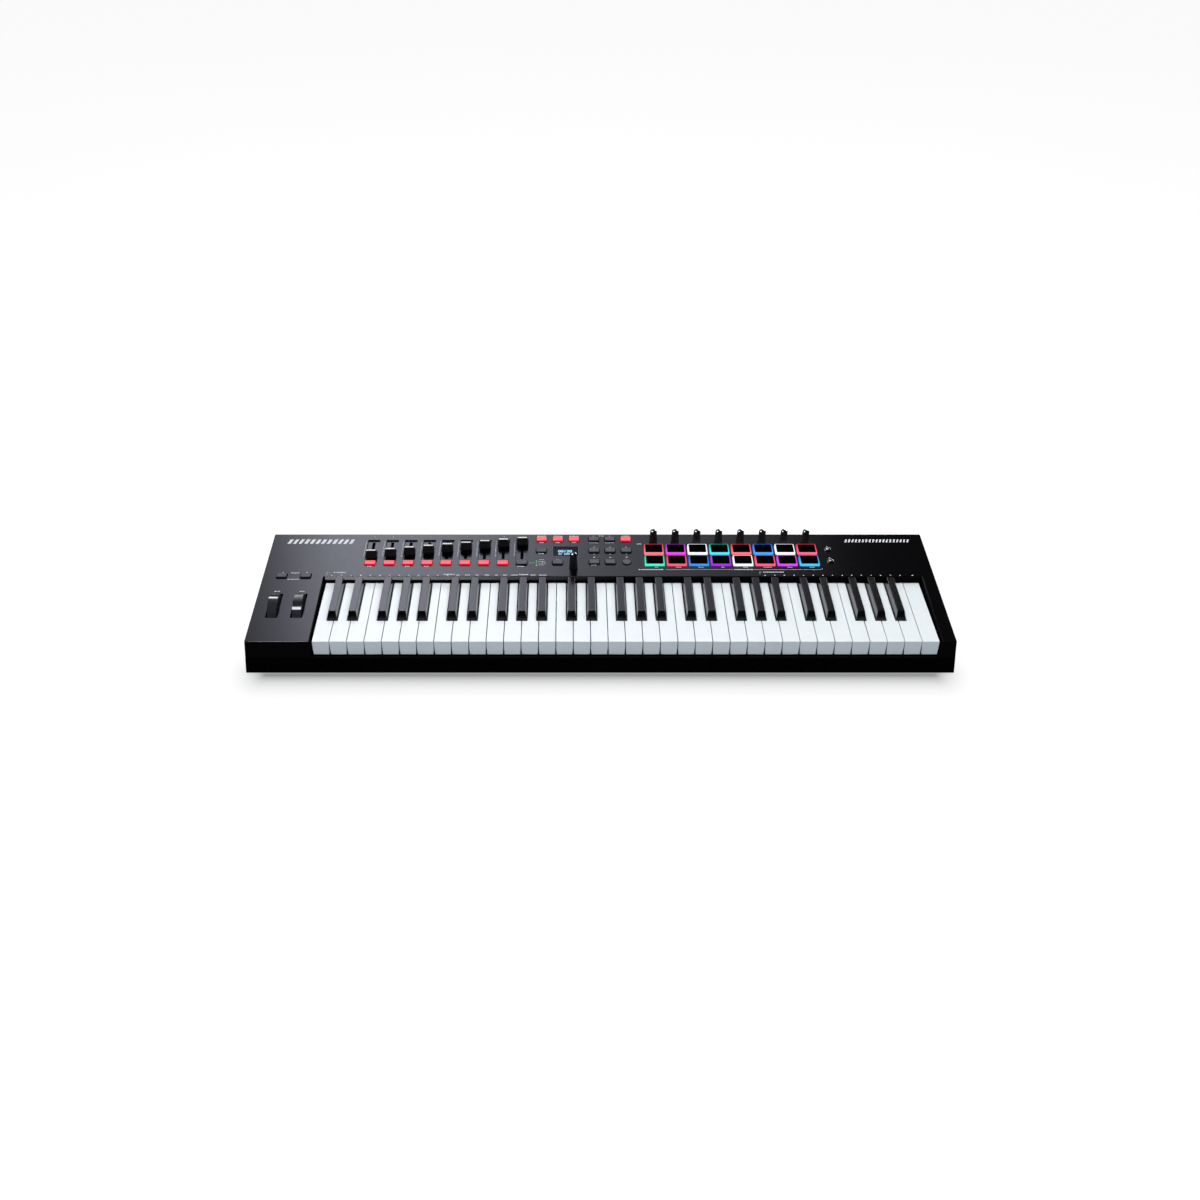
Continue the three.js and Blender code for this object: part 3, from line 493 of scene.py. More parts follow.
def quarter(radius, steps=4):
    """(drop, inset) pairs of a quarter round, from the side wall up to the flat."""
    angles = [radians(90 * k / steps) for k in range(steps + 1)]
    return [(radius * (1 - sin(a)), radius * (1 - cos(a))) for a in angles]


def grown(size, by):
    return size[0] + 2 * by, size[1] + 2 * by


def through(spot, size, radius, ease=0.3, bottom=-8):
    """A cutter in the panel's frame with a rounded mouth."""
    flare = [(-drop, -inset) for drop, inset in quarter(ease, 3)]
    return block(spot, size, radius, [(bottom, 0)] + flare + [(4, -ease)], 4)


def cap_opening(spot, size, radius=1.7):
    return through(spot, grown(size, GAP), radius)


def round_through(spot, radius, ease=0.3):
    flare = [(-drop, radius + inset) for drop, inset in quarter(ease, 3)]
    return turned(spot, [(-8, radius)] + flare + [(4, radius + ease)], 32)


def fader_opening(x):
    """A cutter for one fader: a shallow recess with a long slot in its floor."""
    ease = 0.25
    slot = [(0, 1.2, -8), (0, 1.2, -2.4), (0.2, 1.4, -RECESS_DEPTH)]
    recess = [(0, 0.8, -RECESS_DEPTH)]
    recess += [(inset, 0.8, -drop) for drop, inset in quarter(ease, 3)] + [(ease, 0.8, 4)]
    rings = [rounded((x, SLOT_U), grown(SLOT_SIZE, by), radius, z, 4) for by, radius, z in slot]
    rings += [rounded((x, RECESS_U), grown(RECESS_SIZE, by), radius, z, 4) for by, radius, z in recess]
    return stacked(rings)


def on_panel(solid):
    verts, faces = solid
    return [tuple(PANEL @ (Vector(v) * MM) / MM) for v in verts], faces


def rear_hole(x, size, radius):
    """A cutter through the back wall, round when its corner radius is half its size."""
    w, h = size
    verts, faces = block((x, REAR_Z), (w, h), radius, [(-30, 0), (3.3, 0), (3.6, -0.3), (8, -0.3)], 8)
    return [(a, HALF_DEPTH - 3.6 + c, b) for a, b, c in verts], [tuple(reversed(f)) for f in faces]


def sliced(mesh):
    """Divides faces as wide as the case into a grid, so that none of them holds more than a few openings."""
    bm = bmesh.new()
    bm.from_mesh(mesh)
    cuts = [(Vector((x * MM, 0, 0)), Vector((1, 0, 0))) for x in SLICE_XS]
    cuts += [(PANEL @ Vector((0, u * MM, 0)), PANEL.to_3x3() @ Vector((0, 1, 0))) for u in SLICE_US]
    for spot, facing in cuts:
        everything = bm.verts[:] + bm.edges[:] + bm.faces[:]
        bmesh.ops.bisect_plane(bm, geom=everything, plane_co=spot, plane_no=facing)
    bm.to_mesh(mesh)
    bm.free()


def cut_mesh(name, solid, *cutters):
    """A closed mesh with each cutter, a list of disjoint solids, taken away in turn."""
    mesh = mesh_of(name, *solid)
    sliced(mesh)
    obj = linked(name, mesh)
    for solids in cutters:
        tool = linked("cutter", mesh_of("cutter", *merged(*solids)))
        mod = obj.modifiers.new("cut", "BOOLEAN")
        mod.operation = "DIFFERENCE"
        mod.solver = "EXACT"
        mod.use_hole_tolerant = True
        mod.object = tool
        result = result_of(obj)
        obj.modifiers.clear()
        obj.data = result
        bpy.data.objects.remove(tool)
    return obj


def smooth_roundings(mesh):
    """Only faces that lean between the case's main directions blend; the flat ones keep one even normal."""
    lean = Vector((1, 0, END_LEAN)).normalized()
    flats = [Vector((1, 0, 0)), Vector((0, 1, 0)), Vector((0, 0, 1)), lean, Vector((-lean.x, 0, lean.z))]
    flats += [PANEL.to_3x3() @ Vector((0, 1, 0)), PANEL.to_3x3() @ Vector((0, 0, 1))]
    mesh.set_sharp_from_angle(angle=radians(46))
    for face in mesh.polygons:
        face.use_smooth = all(abs(face.normal.dot(flat)) < 0.9998 for flat in flats)


def case_hollow():
    """The space inside the case, which stops short of the walls that line the key well."""
    hollow = [case_ring(lambda y: SEAM_Z - 5, WALL, 1), case_ring(lambda y: top_z(y) - WALL, WALL, 1)]
    lined = beam(WELL_LEFT - WALL, WELL_RIGHT + WALL, -140, WELL_BACK + WALL, 0, 100)
    core = cut_mesh("case_core", stacked(hollow), [lined])
    solid = [tuple(v.co / MM) for v in core.data.vertices], [tuple(f.vertices) for f in core.data.polygons]
    bpy.data.objects.remove(core)
    return solid


def key_well():
    """A cutter for the well, with a rounded rim where it meets the panel."""
    beyond, radius = 160, 1.2
    spot = ((WELL_LEFT + WELL_RIGHT) / 2, (WELL_BACK - beyond) / 2)
    size = (WELL_RIGHT - WELL_LEFT, WELL_BACK + beyond)
    rings = [rounded(spot, size, radius, -5, 4)]
    for drop, inset in quarter(0.8) + [(-6, 0.8)]:
        rim = rounded(spot, grown(size, inset), radius + inset, 0, 4)
        rings.append([(x, y, top_z(y) - drop) for x, y, _ in rim])
    return stacked(rings)


def panel_openings():
    """Cutters for every opening in the panel except the faders' own."""
    square = BANK_SPOTS + TRANSPORT_SPOTS[:8] + OCTAVE_SPOTS
    holes = [cap_opening(spot, FADER_BUTTON_SIZE) for spot in FADER_BUTTON_SPOTS]
    holes += [cap_opening(spot, BUTTON_SIZE) for spot in square]
    holes.append(round_through(TRANSPORT_SPOTS[8], ROUND_BUTTON_RADIUS + GAP))
    holes += [round_through(spot, SCENE_RADIUS + GAP) for spot in SCENE_SPOTS]
    holes += [cap_opening((x, u), PAD_SIZE, 2.0) for x in PAD_XS for u in PAD_US.values()]
    holes += [round_through(spot, SHAFT_HOLE_RADIUS) for spot in KNOB_SPOTS + [SELECT_SPOT]]
    holes.append(through(DISPLAY_SPOT, (36, 23.6), 1.4))
    holes += [through(spot, WHEEL_SLOT_SIZE, 1.5, 0.5, -20) for spot in WHEEL_SPOTS]
    return [on_panel(hole) for hole in holes]


def top_case():
    outer = [case_ring(lambda y: SEAM_Z, 0.3, 1.2), case_ring(lambda y: SEAM_Z + 0.3, 0, 1.5)]
    outer += [case_ring(lambda y, d=drop: top_z(y) - d, inset, 1.5) for drop, inset in quarter(1.0)]
    hollow, well = case_hollow(), key_well()
    passage = beam(WELL_LEFT, WELL_RIGHT, WELL_BACK - 1, WELL_BACK + WALL + 1, -5, 58.2)
    recesses = [on_panel(fader_opening(x)) for x in FADER_XS]
    rear = [rear_hole(*each) for each in REAR_OPENINGS]
    cutters = [[hollow], [well], [passage], recesses, panel_openings(), rear]
    obj = cut_mesh("top_case_shell", stacked(outer), *cutters)
    # The tray closes the recesses round the faders' slots.
    tray_spot = (sum(FADER_XS) / 9 - 0.5, 86.6)
    tray = on_panel(block(tray_spot, (238.8, 52.8), 0.8, [(-4.2, 0), (-2.6, 0)], 2))
    for each in (obj, cut_mesh("fader_tray", tray, recesses)):
        smooth_roundings(each.data)
        each.data.materials.clear()
        each.data.materials.append(PANEL_PLASTIC)
        each.data.materials.append(WELL_PLASTIC)
        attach(each, CASE)
    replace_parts(obj, "top_case")
    # The walls round the keys are dull, unlike the panel.
    for face in obj.data.polygons:
        x, y, _ = face.center / MM
        if WELL_LEFT - 0.1 < x < WELL_RIGHT + 0.1 and y < WELL_BACK + 0.1 and abs(face.normal.z) < 0.3:
            face.material_index = 1


def feet():
    for corner in ("front_left", "front_right", "back_left", "back_right"):
        lo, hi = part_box(f"foot_{corner}")
        spot = ((lo[0] + hi[0]) / 2 / MM, (lo[1] + hi[1]) / 2 / MM)
        foot = turned(spot, [(0, 8.2), (0.5, 8.8), (1.2, 9), (3.4, 9), (FOOT_HEIGHT, 8.9)], 40)
        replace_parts(piece(f"rubber_foot_{corner}", *foot, FOOT_RUBBER, CASE), f"foot_{corner}")


def fallboard():
    """A black strip over the backs of the keys, painted shade that fills the gap under the wall, and a thin
    strip on the wall above them.
    """
    felt = beam(KEYS_LEFT, KEYS_RIGHT, WELL_BACK + 0.2, WELL_BACK + 2.3, 52.6, 58.1, 0.5)
    piece("fallboard_felt", *felt, GAP_SHADE_BLACK, CASE)
    strip = beam(KEYS_LEFT, KEYS_RIGHT, WELL_BACK - 0.65, WELL_BACK - 0.05, 58.4, 63.7, 0.25)
    piece("fallboard_strip", *strip, STRIP_PLASTIC, CASE)


def underside():
    """Screw heads and a rating plate under the floor tray, which is 4 mm off the ground."""

    def star(a):
        return 0.3 * cos(6 * a)

    # (height, radius, outline) from the floor of the star-shaped recess outwards.
    head = [(3.4, 1.4, star), (2.62, 1.5, star), (2.65, 2.6, None), (2.8, 3.1, None)]
    head += [(3.1, 3.4, None), (3.6, 3.4, None), (3.85, 3.1, None)]
    spots = [(x, y) for x in (-380, -190, 0, 190, 380) for y in (-104, 104)]
    for i, spot in enumerate(spots):
        rings = [circle(spot, radius, z, 48, outline) for z, radius, outline in head]
        piece(f"case_screw_{i + 1:02d}", *stacked(rings), SCREW_STEEL, CASE)
    plate_x, plate_y = 120, 30
    plate = block((plate_x, plate_y), (90, 46), 3, [(3.72, 0), (3.92, 0)], 4)
    piece("rating_plate", *plate, PLATE_FILM, CASE)
    lines = []
    for k in range(6):
        spot, size = (plate_x - 28 + 8 * (k % 2), plate_y + 16 - 6.4 * k), (34 + 16 * (k % 2), 1.6)
        lines.append(block(spot, size, 0.4, [(3.66, 0), (3.74, 0)], 2))
    piece("rating_plate_print", *merged(*lines), GREY_INK, CASE)


refined("bottom_case", CASE_PLASTIC, 0.8, 3)
paint("key_bed_frame", STEEL)
paint("key_contact_board", BOARD)
paint("main_board", BOARD)
paint("contact_rubber_strip", WEB_RUBBER)
paint("wheel_bracket", BLACK_PLASTIC)
refined("usb_socket", SHELL_STEEL, 0.25)
refined("midi_socket", BLACK_PLASTIC, 0.25)
refined("pedal_jack_block", BLACK_PLASTIC, 0.3)
refined("power_switch", BLACK_PLASTIC, 0.35)
feet()
top_case()
fallboard()
underside()


# ---- keys
def black_centre(k):
    """The middle of the black key after white key k, where there is one."""
    offset = BLACK_OFFSETS.get(k % 7) if 0 <= k < 35 else None
    return None if offset is None else KEYS_LEFT + (k + 1) * KEY_PITCH + offset


def white_key(k):
    """A white key with its notches and its front lip, which narrows a little downwards."""
    left = KEYS_LEFT + k * KEY_PITCH + KEY_CRACK / 2
    right = left + KEY_PITCH - KEY_CRACK
    before, after = black_centre(k - 1), black_centre(k)
    tail_left = left if before is None else before + 7.8
    tail_right = right if after is None else after - 7.8
    front, lip, notch, end = -119, -116, -71, 34
    top, underneath, lip_bottom = 52, 42, 30.1
    outline = [(left, front), (right, front), (right, lip)]
    if after is not None:
        outline += [(right, notch), (tail_right, notch)]
    outline += [(tail_right, end), (tail_left, end)]
    if before is not None:
        outline += [(tail_left, notch), (left, notch)]
    outline.append((left, lip))
    n = len(outline)
    draft = 0.7
    centre = (left + right) / 2
    verts = [(x, y, top) for x, y in outline]
    verts += [(x, y, underneath) for x, y in outline]
    for x, y in [(left, front), (right, front), (right, lip), (left, lip)]:
        verts.append((x + copysign(draft, centre - x), y + (0.25 if y == front else 0), lip_bottom))
    faces = [tuple(range(n))]
    faces += [(n + i, n + (i + 1) % n, (i + 1) % n, i) for i in range(n)]
    faces.append(tuple(reversed([2 * n - 1] + list(range(n + 2, 2 * n - 1)))))
    ring = [n, n + 1, n + 2, 2 * n - 1]
    base = 2 * n
    faces += [(base + i, base + (i + 1) % 4, ring[(i + 1) % 4], ring[i]) for i in range(4)]
    faces.append((base + 3, base + 2, base + 1, base))
    return verts, faces, (tail_left + tail_right) / 2


def black_key(x, name, node):
    """A black key: a straight skirt, leaning sides, a sloping nose and a faintly crowned top."""
    back = 19.9
    # (height, half width, front, corner radius)
    levels = [
        (42, 6.8, -69.6, 0.4),
        (52, 6.8, -69.5, 0.5),
        (62.3, 5.15, -64.6, 0.6),
        (62.9, 5.02, -64.25, 0.6),
        (63.25, 4.85, -63.95, 0.6),
        (63.44, 4.62, -63.6, 0.6),
        (63.5, 4.35, -63.2, 0.6),
    ]
    rings = []
    for z, half, front, radius in levels:
        spot, size = (x, (front + back) / 2), (2 * half, back - front)
        rings.append(rounded(spot, size, radius, z, 3))
    return piece(name, *stacked(rings), BLACK_KEY, node, sharp=46)


def comb_back(name, comb, bar_ends, arms, material, node):
    """The arms and the bar that join one comb's keys, behind the fallboard."""
    z = BAR_ZS[comb]
    parts = [beam(bar_ends[0], bar_ends[1], 51, 57, z, z + 4)]
    for x in arms:
        if comb == "black":
            parts.append(beam(x - 3.5, x + 3.5, 19, 52, z + 0.1, z + 3.9))
        else:
            parts.append(beam(x - 3.5, x + 3.5, 29.6, 33.3, z + 0.1, 42.2))
            parts.append(beam(x - 3.5, x + 3.5, 29.6, 52, z + 0.15, z + 3.85))
    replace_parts(piece(name, *merged(*parts), material, node), node)


def keys():
    for octave in range(6):
        first = octave * 7
        ends = (KEYS_LEFT + first * KEY_PITCH + 0.6, KEYS_LEFT + (first + 7) * KEY_PITCH - 0.6)
        arms = {"c_e_g_b": [], "d_f_a": [], "black": []}
        for k in range(first, min(first + 7, 36)):
            comb = WHITE_COMBS[k - first]
            node = f"octave_{octave + 1}_{comb}_keys" if k < 35 else "top_c_key"
            verts, faces, middle = white_key(k)
            bevelled(piece(f"white_key_{k + 1:02d}", verts, faces, WHITE_KEY, node, sharp=180), 0.45)
            arms[comb].append(middle)
            x = black_centre(k)
            if x is not None:
                black_key(x, f"black_key_{k + 1:02d}", f"octave_{octave + 1}_black_keys")
                arms["black"].append(x)
        if octave == 5:
            ends = (ends[0], ends[0] + KEY_PITCH - 1.2)
            comb_back("top_c_arm", "c_e_g_b", ends, arms["c_e_g_b"], WHITE_KEY, "top_c_key")
            break
        for comb, xs in arms.items():
            material = BLACK_KEY if comb == "black" else WHITE_KEY
            name = f"octave_{octave + 1}_{comb}"
            comb_back(f"{name}_comb", comb, ends, xs, material, f"{name}_keys")


keys()


# ---- wheels
def wheel_rim(radius, notch, steps=160):
    """(distance, angle) pairs round a wheel, which give way to a round notch in the rim."""
    reach, groove = 32.8, 5.0
    nx, nz = -cos(notch) * reach, sin(notch) * reach
    rim = []
    for k in range(steps):
        a = tau * k / steps
        b = nx * cos(a) + nz * sin(a)
        room = b * b - (reach * reach - groove * groove)
        near = b - sqrt(room) if room > 0 and b > 0 else radius
        rim.append((min(radius, near), a))
    return rim


def wheel(name, notch):
    """A thumb wheel with hubs and an index line, its notch at an angle in degrees."""
    radius, half = 30.0, 6.4
    cx, cy, cz = [v / MM for v in JOINTS[f"{name}_turn"]["pos_m"]]

    def ring(x, points):
        return [(cx + x, cy + r * cos(a), cz + r * sin(a)) for r, a in points]

    def mirrored(profile):
        return [(-x, y) for x, y in reversed(profile)] + profile

    notch = radians(notch)
    rim = wheel_rim(radius, notch)
    edge = mirrored([(half - 1, 0), (half - 0.5, 0.2), (half - 0.15, 0.6), (half, 1.0)])
    disc = stacked([ring(x, [(r - inset, a) for r, a in rim]) for x, inset in edge])
    hub = mirrored([(half, 7.4), (half + 1.2, 7), (half + 1.2, 3), (14.2, 3), (14.5, 2.7)])
    axle = stacked([ring(x, [(r, tau * k / 32) for k in range(32)]) for x, r in hub])
    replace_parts(piece(f"{name}_body", *merged(disc, axle), WHEEL_PLASTIC, name, sharp=30), name)
    # White index line, set in the rim on the player's side of the notch.
    start = pi - notch + radians(7.7)
    span = [start + 0.134 * t / 6 for t in range(7)]
    line = [(radius - 0.6, a) for a in span] + [(radius + 0.06, a) for a in reversed(span)]
    rings = [ring(x, line) for x in (0.35 - half, half - 0.35)]
    piece(f"{name}_index_line", *stacked(rings), WHITE_INSERT, name)


wheel("pitch_wheel", 103.8)
wheel("mod_wheel", 67)


# ---- faders
def fader(body, spot):
    """A skirt, then two faces that lean in to a narrow ridge, finely ribbed for the fingertip."""
    number = body[-1]
    # (height, width, depth, corner radius) from the skirt up.
    levels = [(1.2, 16.6, 14.6, 1.0), (1.6, 17.0, 15.0, 1.2), (2.4, 16.8, 14.6, 1.2), (3.8, 16.2, 13.2, 1.1)]
    ribs, groove = 5, 0.06
    for k in range(ribs):
        low, high = (k + 0.15) / ribs, (k + 0.85) / ribs
        for t, bite in ((low, 0.0), (low + groove, 0.3), (high - groove, 0.3), (high, 0.0)):
            levels.append((3.9 + t * 6.3, 16.1 - t * 2.2, 13.0 - t * 9.0 - 2 * bite, 0.8))
    levels += [(10.5, 13.9, 3.7, 0.8), (10.8, 13.5, 3.2, 0.7), (10.92, 13.0, 2.6, 0.6)]
    cap = stacked([rounded(spot, (w, d), radius, z) for z, w, d, radius in levels])
    stem = block(spot, (1.6, 4.6), 0.3, [(-9.4, 0.1), (-9.2, 0), (1.6, 0)], 3)
    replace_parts(piece(f"fader_cap_{number}", *merged(cap, stem), BLACK_PLASTIC, body, PANEL), body)
    x, u = spot
    line = block((x, u - 0.4), (13.4, 2.5), 0.3, [(10.3, 0), (10.9, 0.02), (11.0, 0.15)], 3)
    piece(f"fader_line_{number}", *line, WHITE_INSERT, body, PANEL)


for i, spot in enumerate(zip(FADER_XS, FADER_US)):
    fader(f"fader_{i + 1}", spot)

# ---- knobs
KNOB_HEIGHT, SELECT_KNOB_HEIGHT = 21.3, 25.3


def knob(body, spot, height):
    """A tapered soft-touch skirt with grip flutes, a glossy domed cap and a white pointer."""
    flutes, steps = 18, 144
    base, top = 6.15, 4.85

    def flute(depth):
        return lambda a: -depth * (0.5 + 0.5 * cos(flutes * a)) ** 3

    # (height, radius, flutes) from the panel upwards.
    levels = [(0.8, base - 0.35, None), (1.1, base, None), (2.4, base, None), (2.8, base - 0.15, None)]
    levels.append((3.2, base - 0.2, flute(0.35)))
    for t in (0.2, 0.45, 0.7, 0.9):
        levels.append((3.2 + (height - 6.0) * t, base - 0.2 + (top - base + 0.2) * t, flute(0.4)))
    levels += [(height - 2.2, top, flute(0.2)), (height - 1.7, top - 0.12, None)]
    skirt = stacked([circle(spot, r, z, steps, dents) for z, r, dents in levels])
    shaft = turned(spot, [(-8.4, 2.8), (-8.1, 3), (1, 3)], 24)
    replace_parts(piece(f"{body}_grip", *merged(skirt, shaft), SOFT_TOUCH, body, PANEL, 30), body)
    dome = [radians(15 * k) for k in range(6)]
    cap = [(height - 2.2, 4.4), (height - 1.8, 4.72)]
    cap += [(height - 1.6 + 1.85 * sin(a), 4.75 * cos(a)) for a in dome]
    piece(f"{body}_cap", *turned(spot, cap, 48), GLOSS_BLACK, body, PANEL, 50)
    # The pointer runs down the back of the grip.
    x, u = spot
    levels = [(height - 8, 0), (height - 7.8, 0), (height - 1.7, 0)]
    pointer = block((x, u + 4.95), (1.0, 0.7), 0.2, levels, 3)
    piece(f"{body}_pointer", *pointer, WHITE_INSERT, body, PANEL)


for i, spot in enumerate(KNOB_SPOTS):
    knob(f"knob_{i + 1}", spot, KNOB_HEIGHT)
knob("select_knob", SELECT_SPOT, SELECT_KNOB_HEIGHT)

# ---- pads and buttons
WEB_PROFILE = [(-4.2, 0.1), (-4.1, 0), (-3.1, 0), (-3.0, 0.1)]
CAP_PROFILE = [(-3.4, 0), (1.3, 0.1), (1.9, 0.28), (2.3, 0.6), (2.48, 1.0), (2.5, 1.5), (2.44, 2.6), (2.4, 4)]
PAD_FRAME_PROFILE = [(-3.4, 0), (1.5, 0.12), (2.2, 0.3), (2.6, 0.75), (2.75, 1.2), (2.7, 1.7), (2.6, 2.6)]
PAD_TOP_PROFILE = [(1.8, 0.1), (2.5, 0.02), (2.8, 0.2), (2.95, 0.5), (3.03, 1.2), (3.07, 4), (3.1, 8)]
# Colours of each pad's light at its far and its near edge.
PAD_LIGHTS = {
    "upper": [
        ((205, 28, 58), (246, 120, 132)), ((128, 34, 168), (224, 74, 226)),
        ((232, 234, 240), (250, 250, 252)), ((0, 160, 118), (74, 224, 236)),
        ((214, 40, 70), (244, 112, 126)), ((20, 96, 214), (60, 160, 244)),
        ((226, 228, 232), (250, 248, 250)), ((214, 34, 70), (246, 104, 132)),
    ],
    "lower": [
        ((30, 196, 150), (70, 226, 190)), ((232, 42, 96), (244, 84, 112)),
        ((24, 92, 190), (48, 142, 224)), ((180, 56, 220), (150, 46, 214)),
        ((226, 226, 226), (250, 250, 250)), ((236, 52, 100), (244, 88, 128)),
        ((190, 60, 226), (206, 70, 232)), ((24, 120, 214), (66, 190, 244)),
    ],
}


def web(name, parts, body, radius=1.5):
    """The rubber sheet under a keypad's caps."""
    solids = [block(spot, size, radius, WEB_PROFILE) for spot, size in parts]
    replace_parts(piece(name, *merged(*solids), WEB_RUBBER, body, PANEL), body)


def pads():
    for row, u in PAD_US.items():
        body = f"{row}_pad_row"
        for i, x in enumerate(PAD_XS):
            far, near = PAD_LIGHTS[row][i]
            number = i + 1 + (0 if row == "lower" else 8)
            glow = lit(f"pad_light_{number}", far, near, 1.05, (u, 12, 1))
            rim = block((x, u), PAD_SIZE, 1.8, PAD_FRAME_PROFILE, 6)
            piece(f"pad_light_{number:02d}", *rim, glow, body, PANEL)
            top = block((x, u), PAD_TOP_SIZE, 1.5, PAD_TOP_PROFILE, 6)
            piece(f"pad_top_{number:02d}", *top, PAD_RUBBER, body, PANEL)
        middle, width = (PAD_XS[0] + PAD_XS[-1]) / 2, PAD_XS[-1] - PAD_XS[0] + 31.4
        web(f"{row}_pad_web", [((middle, u), (width, 25.6))], body, 2)


def red_light(name, u, depth):
    """A finish for a button at u that is lit red, with painted shade that darkens its sides."""
    return lit(name, (250, 92, 104), (252, 112, 122), 1.0, (u, depth / 2, 2), (196, 18, 40))


def button(name, spot, size, body, material):
    piece(name, *block(spot, size, 1.5, CAP_PROFILE, 6), material, body, PANEL, 40)


def round_button(name, spot, radius, body, material):
    profile = [(-3.4, radius), (0.6, radius - 0.08), (1.2, radius - 0.25), (1.55, radius - 0.6)]
    profile += [(1.7, radius - 1.1), (1.66, radius * 0.5), (1.64, 0.4)]
    piece(name, *turned(spot, profile, 40), material, body, PANEL, 40)


def keypad(kind, spots, size, red, parts):
    """A web with its caps: those whose index is in red are lit, and the last transport button is round."""
    for i, spot in enumerate(spots):
        name = f"{kind}_{i + 1}"
        finish = red_light(f"{name}_light", spot[1], size[1]) if i in red else BUTTON_RUBBER
        if kind == "transport_button" and i == 8:
            round_button(name, spot, ROUND_BUTTON_RADIUS, f"{kind}s", finish)
        else:
            button(name, spot, size, f"{kind}s", finish)
    web(f"{kind}_web", parts, f"{kind}s")


def scene_buttons():
    for i, spot in enumerate(SCENE_SPOTS):
        round_button(f"scene_button_{i + 1}", spot, SCENE_RADIUS, "scene_buttons", GLOSS_BLACK)
    web("scene_button_web", [((334, 72), (13.8, 43.6))], "scene_buttons")


pads()
fader_web = [((sum(FADER_XS) / 9, 53), (236, 12.8))]
bank_web = [((-82, 83), (20, 72)), ((-47.6, 112.5), (46.5, 12.6)), ((-60.2, 53.75), (22, 13.3))]
keypad("fader_button", FADER_BUTTON_SPOTS, FADER_BUTTON_SIZE, range(8), fader_web)
keypad("bank_button", BANK_SPOTS, BUTTON_SIZE, range(3), bank_web)
keypad("transport_button", TRANSPORT_SPOTS, BUTTON_SIZE, [2], [((17.5, 83.5), (64.8, 70.6))])
keypad("octave_button", OCTAVE_SPOTS, BUTTON_SIZE, [], [((-433.3, 22), (53.8, 13.8))])
scene_buttons()

# ---- printing on the panel
INK_HEIGHT = 0.04
INK_LEVELS = (-0.02, INK_HEIGHT)
# The solids of each ink, gathered here before they become one piece.
WHITE, GREY = [], []


def bars(ink, *shapes):
    """Adds thin bars, (x, u, width, height) each, to the solids of one ink."""
    profile = [(z, 0) for z in INK_LEVELS]
    ink += [block((x, u), (w, h), min(w, h) * 0.3, profile, 2) for x, u, w, h in shapes]


def dashes(ink, *lines):
    """Adds lines of small print, (x, u, width, height) each, as runs of neutral dashes."""
    sizes = [2.2, 1.4, 3.0, 1.8, 2.6]
    for x, u, width, height in lines:
        start, stop, k = x - width / 2, x + width / 2, 0
        while start < stop - 0.8:
            size = min(sizes[k % len(sizes)], stop - start)
            bars(ink, (start + size / 2, u, size, height))
            start += size + 0.55
            k += 1


def dot(x, u, radius, steps=16):
    return turned((x, u), [(z, radius) for z in INK_LEVELS], steps)


def inked(ring):
    return stacked([[(x, u, z) for x, u in ring] for z in INK_LEVELS])


def stripes(start, pitch, count, u, width, height, lean):
    """A run of plain slanted stripes, which stands where the photo has a name."""
    foot, head = u - height / 2, u + height / 2
    for x in [start + pitch * k for k in range(count)]:
        ring = [(x, foot), (x + width, foot), (x + width + lean, head), (x + lean, head)]
        WHITE.append(inked(ring))


def digits(text, spot, size, lift=0.0, weight=0.0):
    """Plain numerals, as flat geometry in the panel's frame."""
    curve = bpy.data.curves.new("numeral", "FONT")
    curve.body = text
    curve.size = size
    curve.align_x = "CENTER"
    curve.align_y = "CENTER"
    curve.extrude = INK_HEIGHT / 2
    curve.offset = weight
    obj = linked("numeral", curve)
    mesh = result_of(obj)
    verts = [(v.co.x + spot[0], v.co.y + spot[1], v.co.z + INK_HEIGHT / 2 + lift) for v in mesh.vertices]
    bpy.data.objects.remove(obj)
    return verts, [tuple(p.vertices) for p in mesh.polygons]


def fader_print():
    for i, x in enumerate(FADER_XS):
        GREY.append(digits(str(i + 1), (x, 119.6), 3.2))
        bars(GREY, (x - 11.4, 88.5, 0.45, 37))
        bars(GREY, *[(x - 10.5, 70.5 + 3.6 * k, 1.1 if k % 5 else 1.9, 0.4) for k in range(11)])
        if i in (0, 2, 3, 8):
            dashes(WHITE, (x - 0.5, 45.3, 11 if i == 8 else 6.8, 1.3))


def pad_print():
    for x, width in zip(PAD_XS, (5, 9, 9, 5, 6.5, 12, 7, 7)):
        dashes(WHITE, (x + 2.5, 43.2, width, 1.1))
        dashes(GREY, (x, 100.6, 7, 0.8))
    # Rules under the pads, with the names of the two groups.
    dashes(WHITE, (75.3, 37.4, 36, 1.7), (207.4, 37.4, 27, 1.7), (250.2, 31.2, 31, 1.7))
    bars(GREY, (143.8, 37.4, 96, 0.6), (270, 37.4, 96.5, 0.6), (320.2, 39.2, 0.6, 4))
    bars(GREY, (230, 28.6, 0.5, 6), (231.4, 31.4, 2.8, 0.5))
    dashes(WHITE, (60.4, 101, 6.4, 1.5))
    for x, u in SCENE_SPOTS:
        GREY.append(dot(x, u + 8.6, 0.8, 12))


def bank_print():
    for x, u in BANK_SPOTS[:3]:
        dashes(WHITE, (x, u + 9.2, 12.5, 1.6))
        bars(WHITE, (x, u - 7.4, 6.6, 1.1))
    dashes(WHITE, (BANK_SPOTS[3][0], 76.6, 8.8, 1.3))
    dashes(GREY, (BANK_SPOTS[4][0] + 0.5, 62, 5, 1.1))
    # A note beside each status light, with a rule that leads there from the last fader's button.
    dashes(GREY, *[(-81.2, 62 - 4.4 * k, width, 1.2) for k, width in enumerate((8.5, 11, 10, 9))])
    bars(GREY, (-95.5, 53.6, 8.4, 0.5))


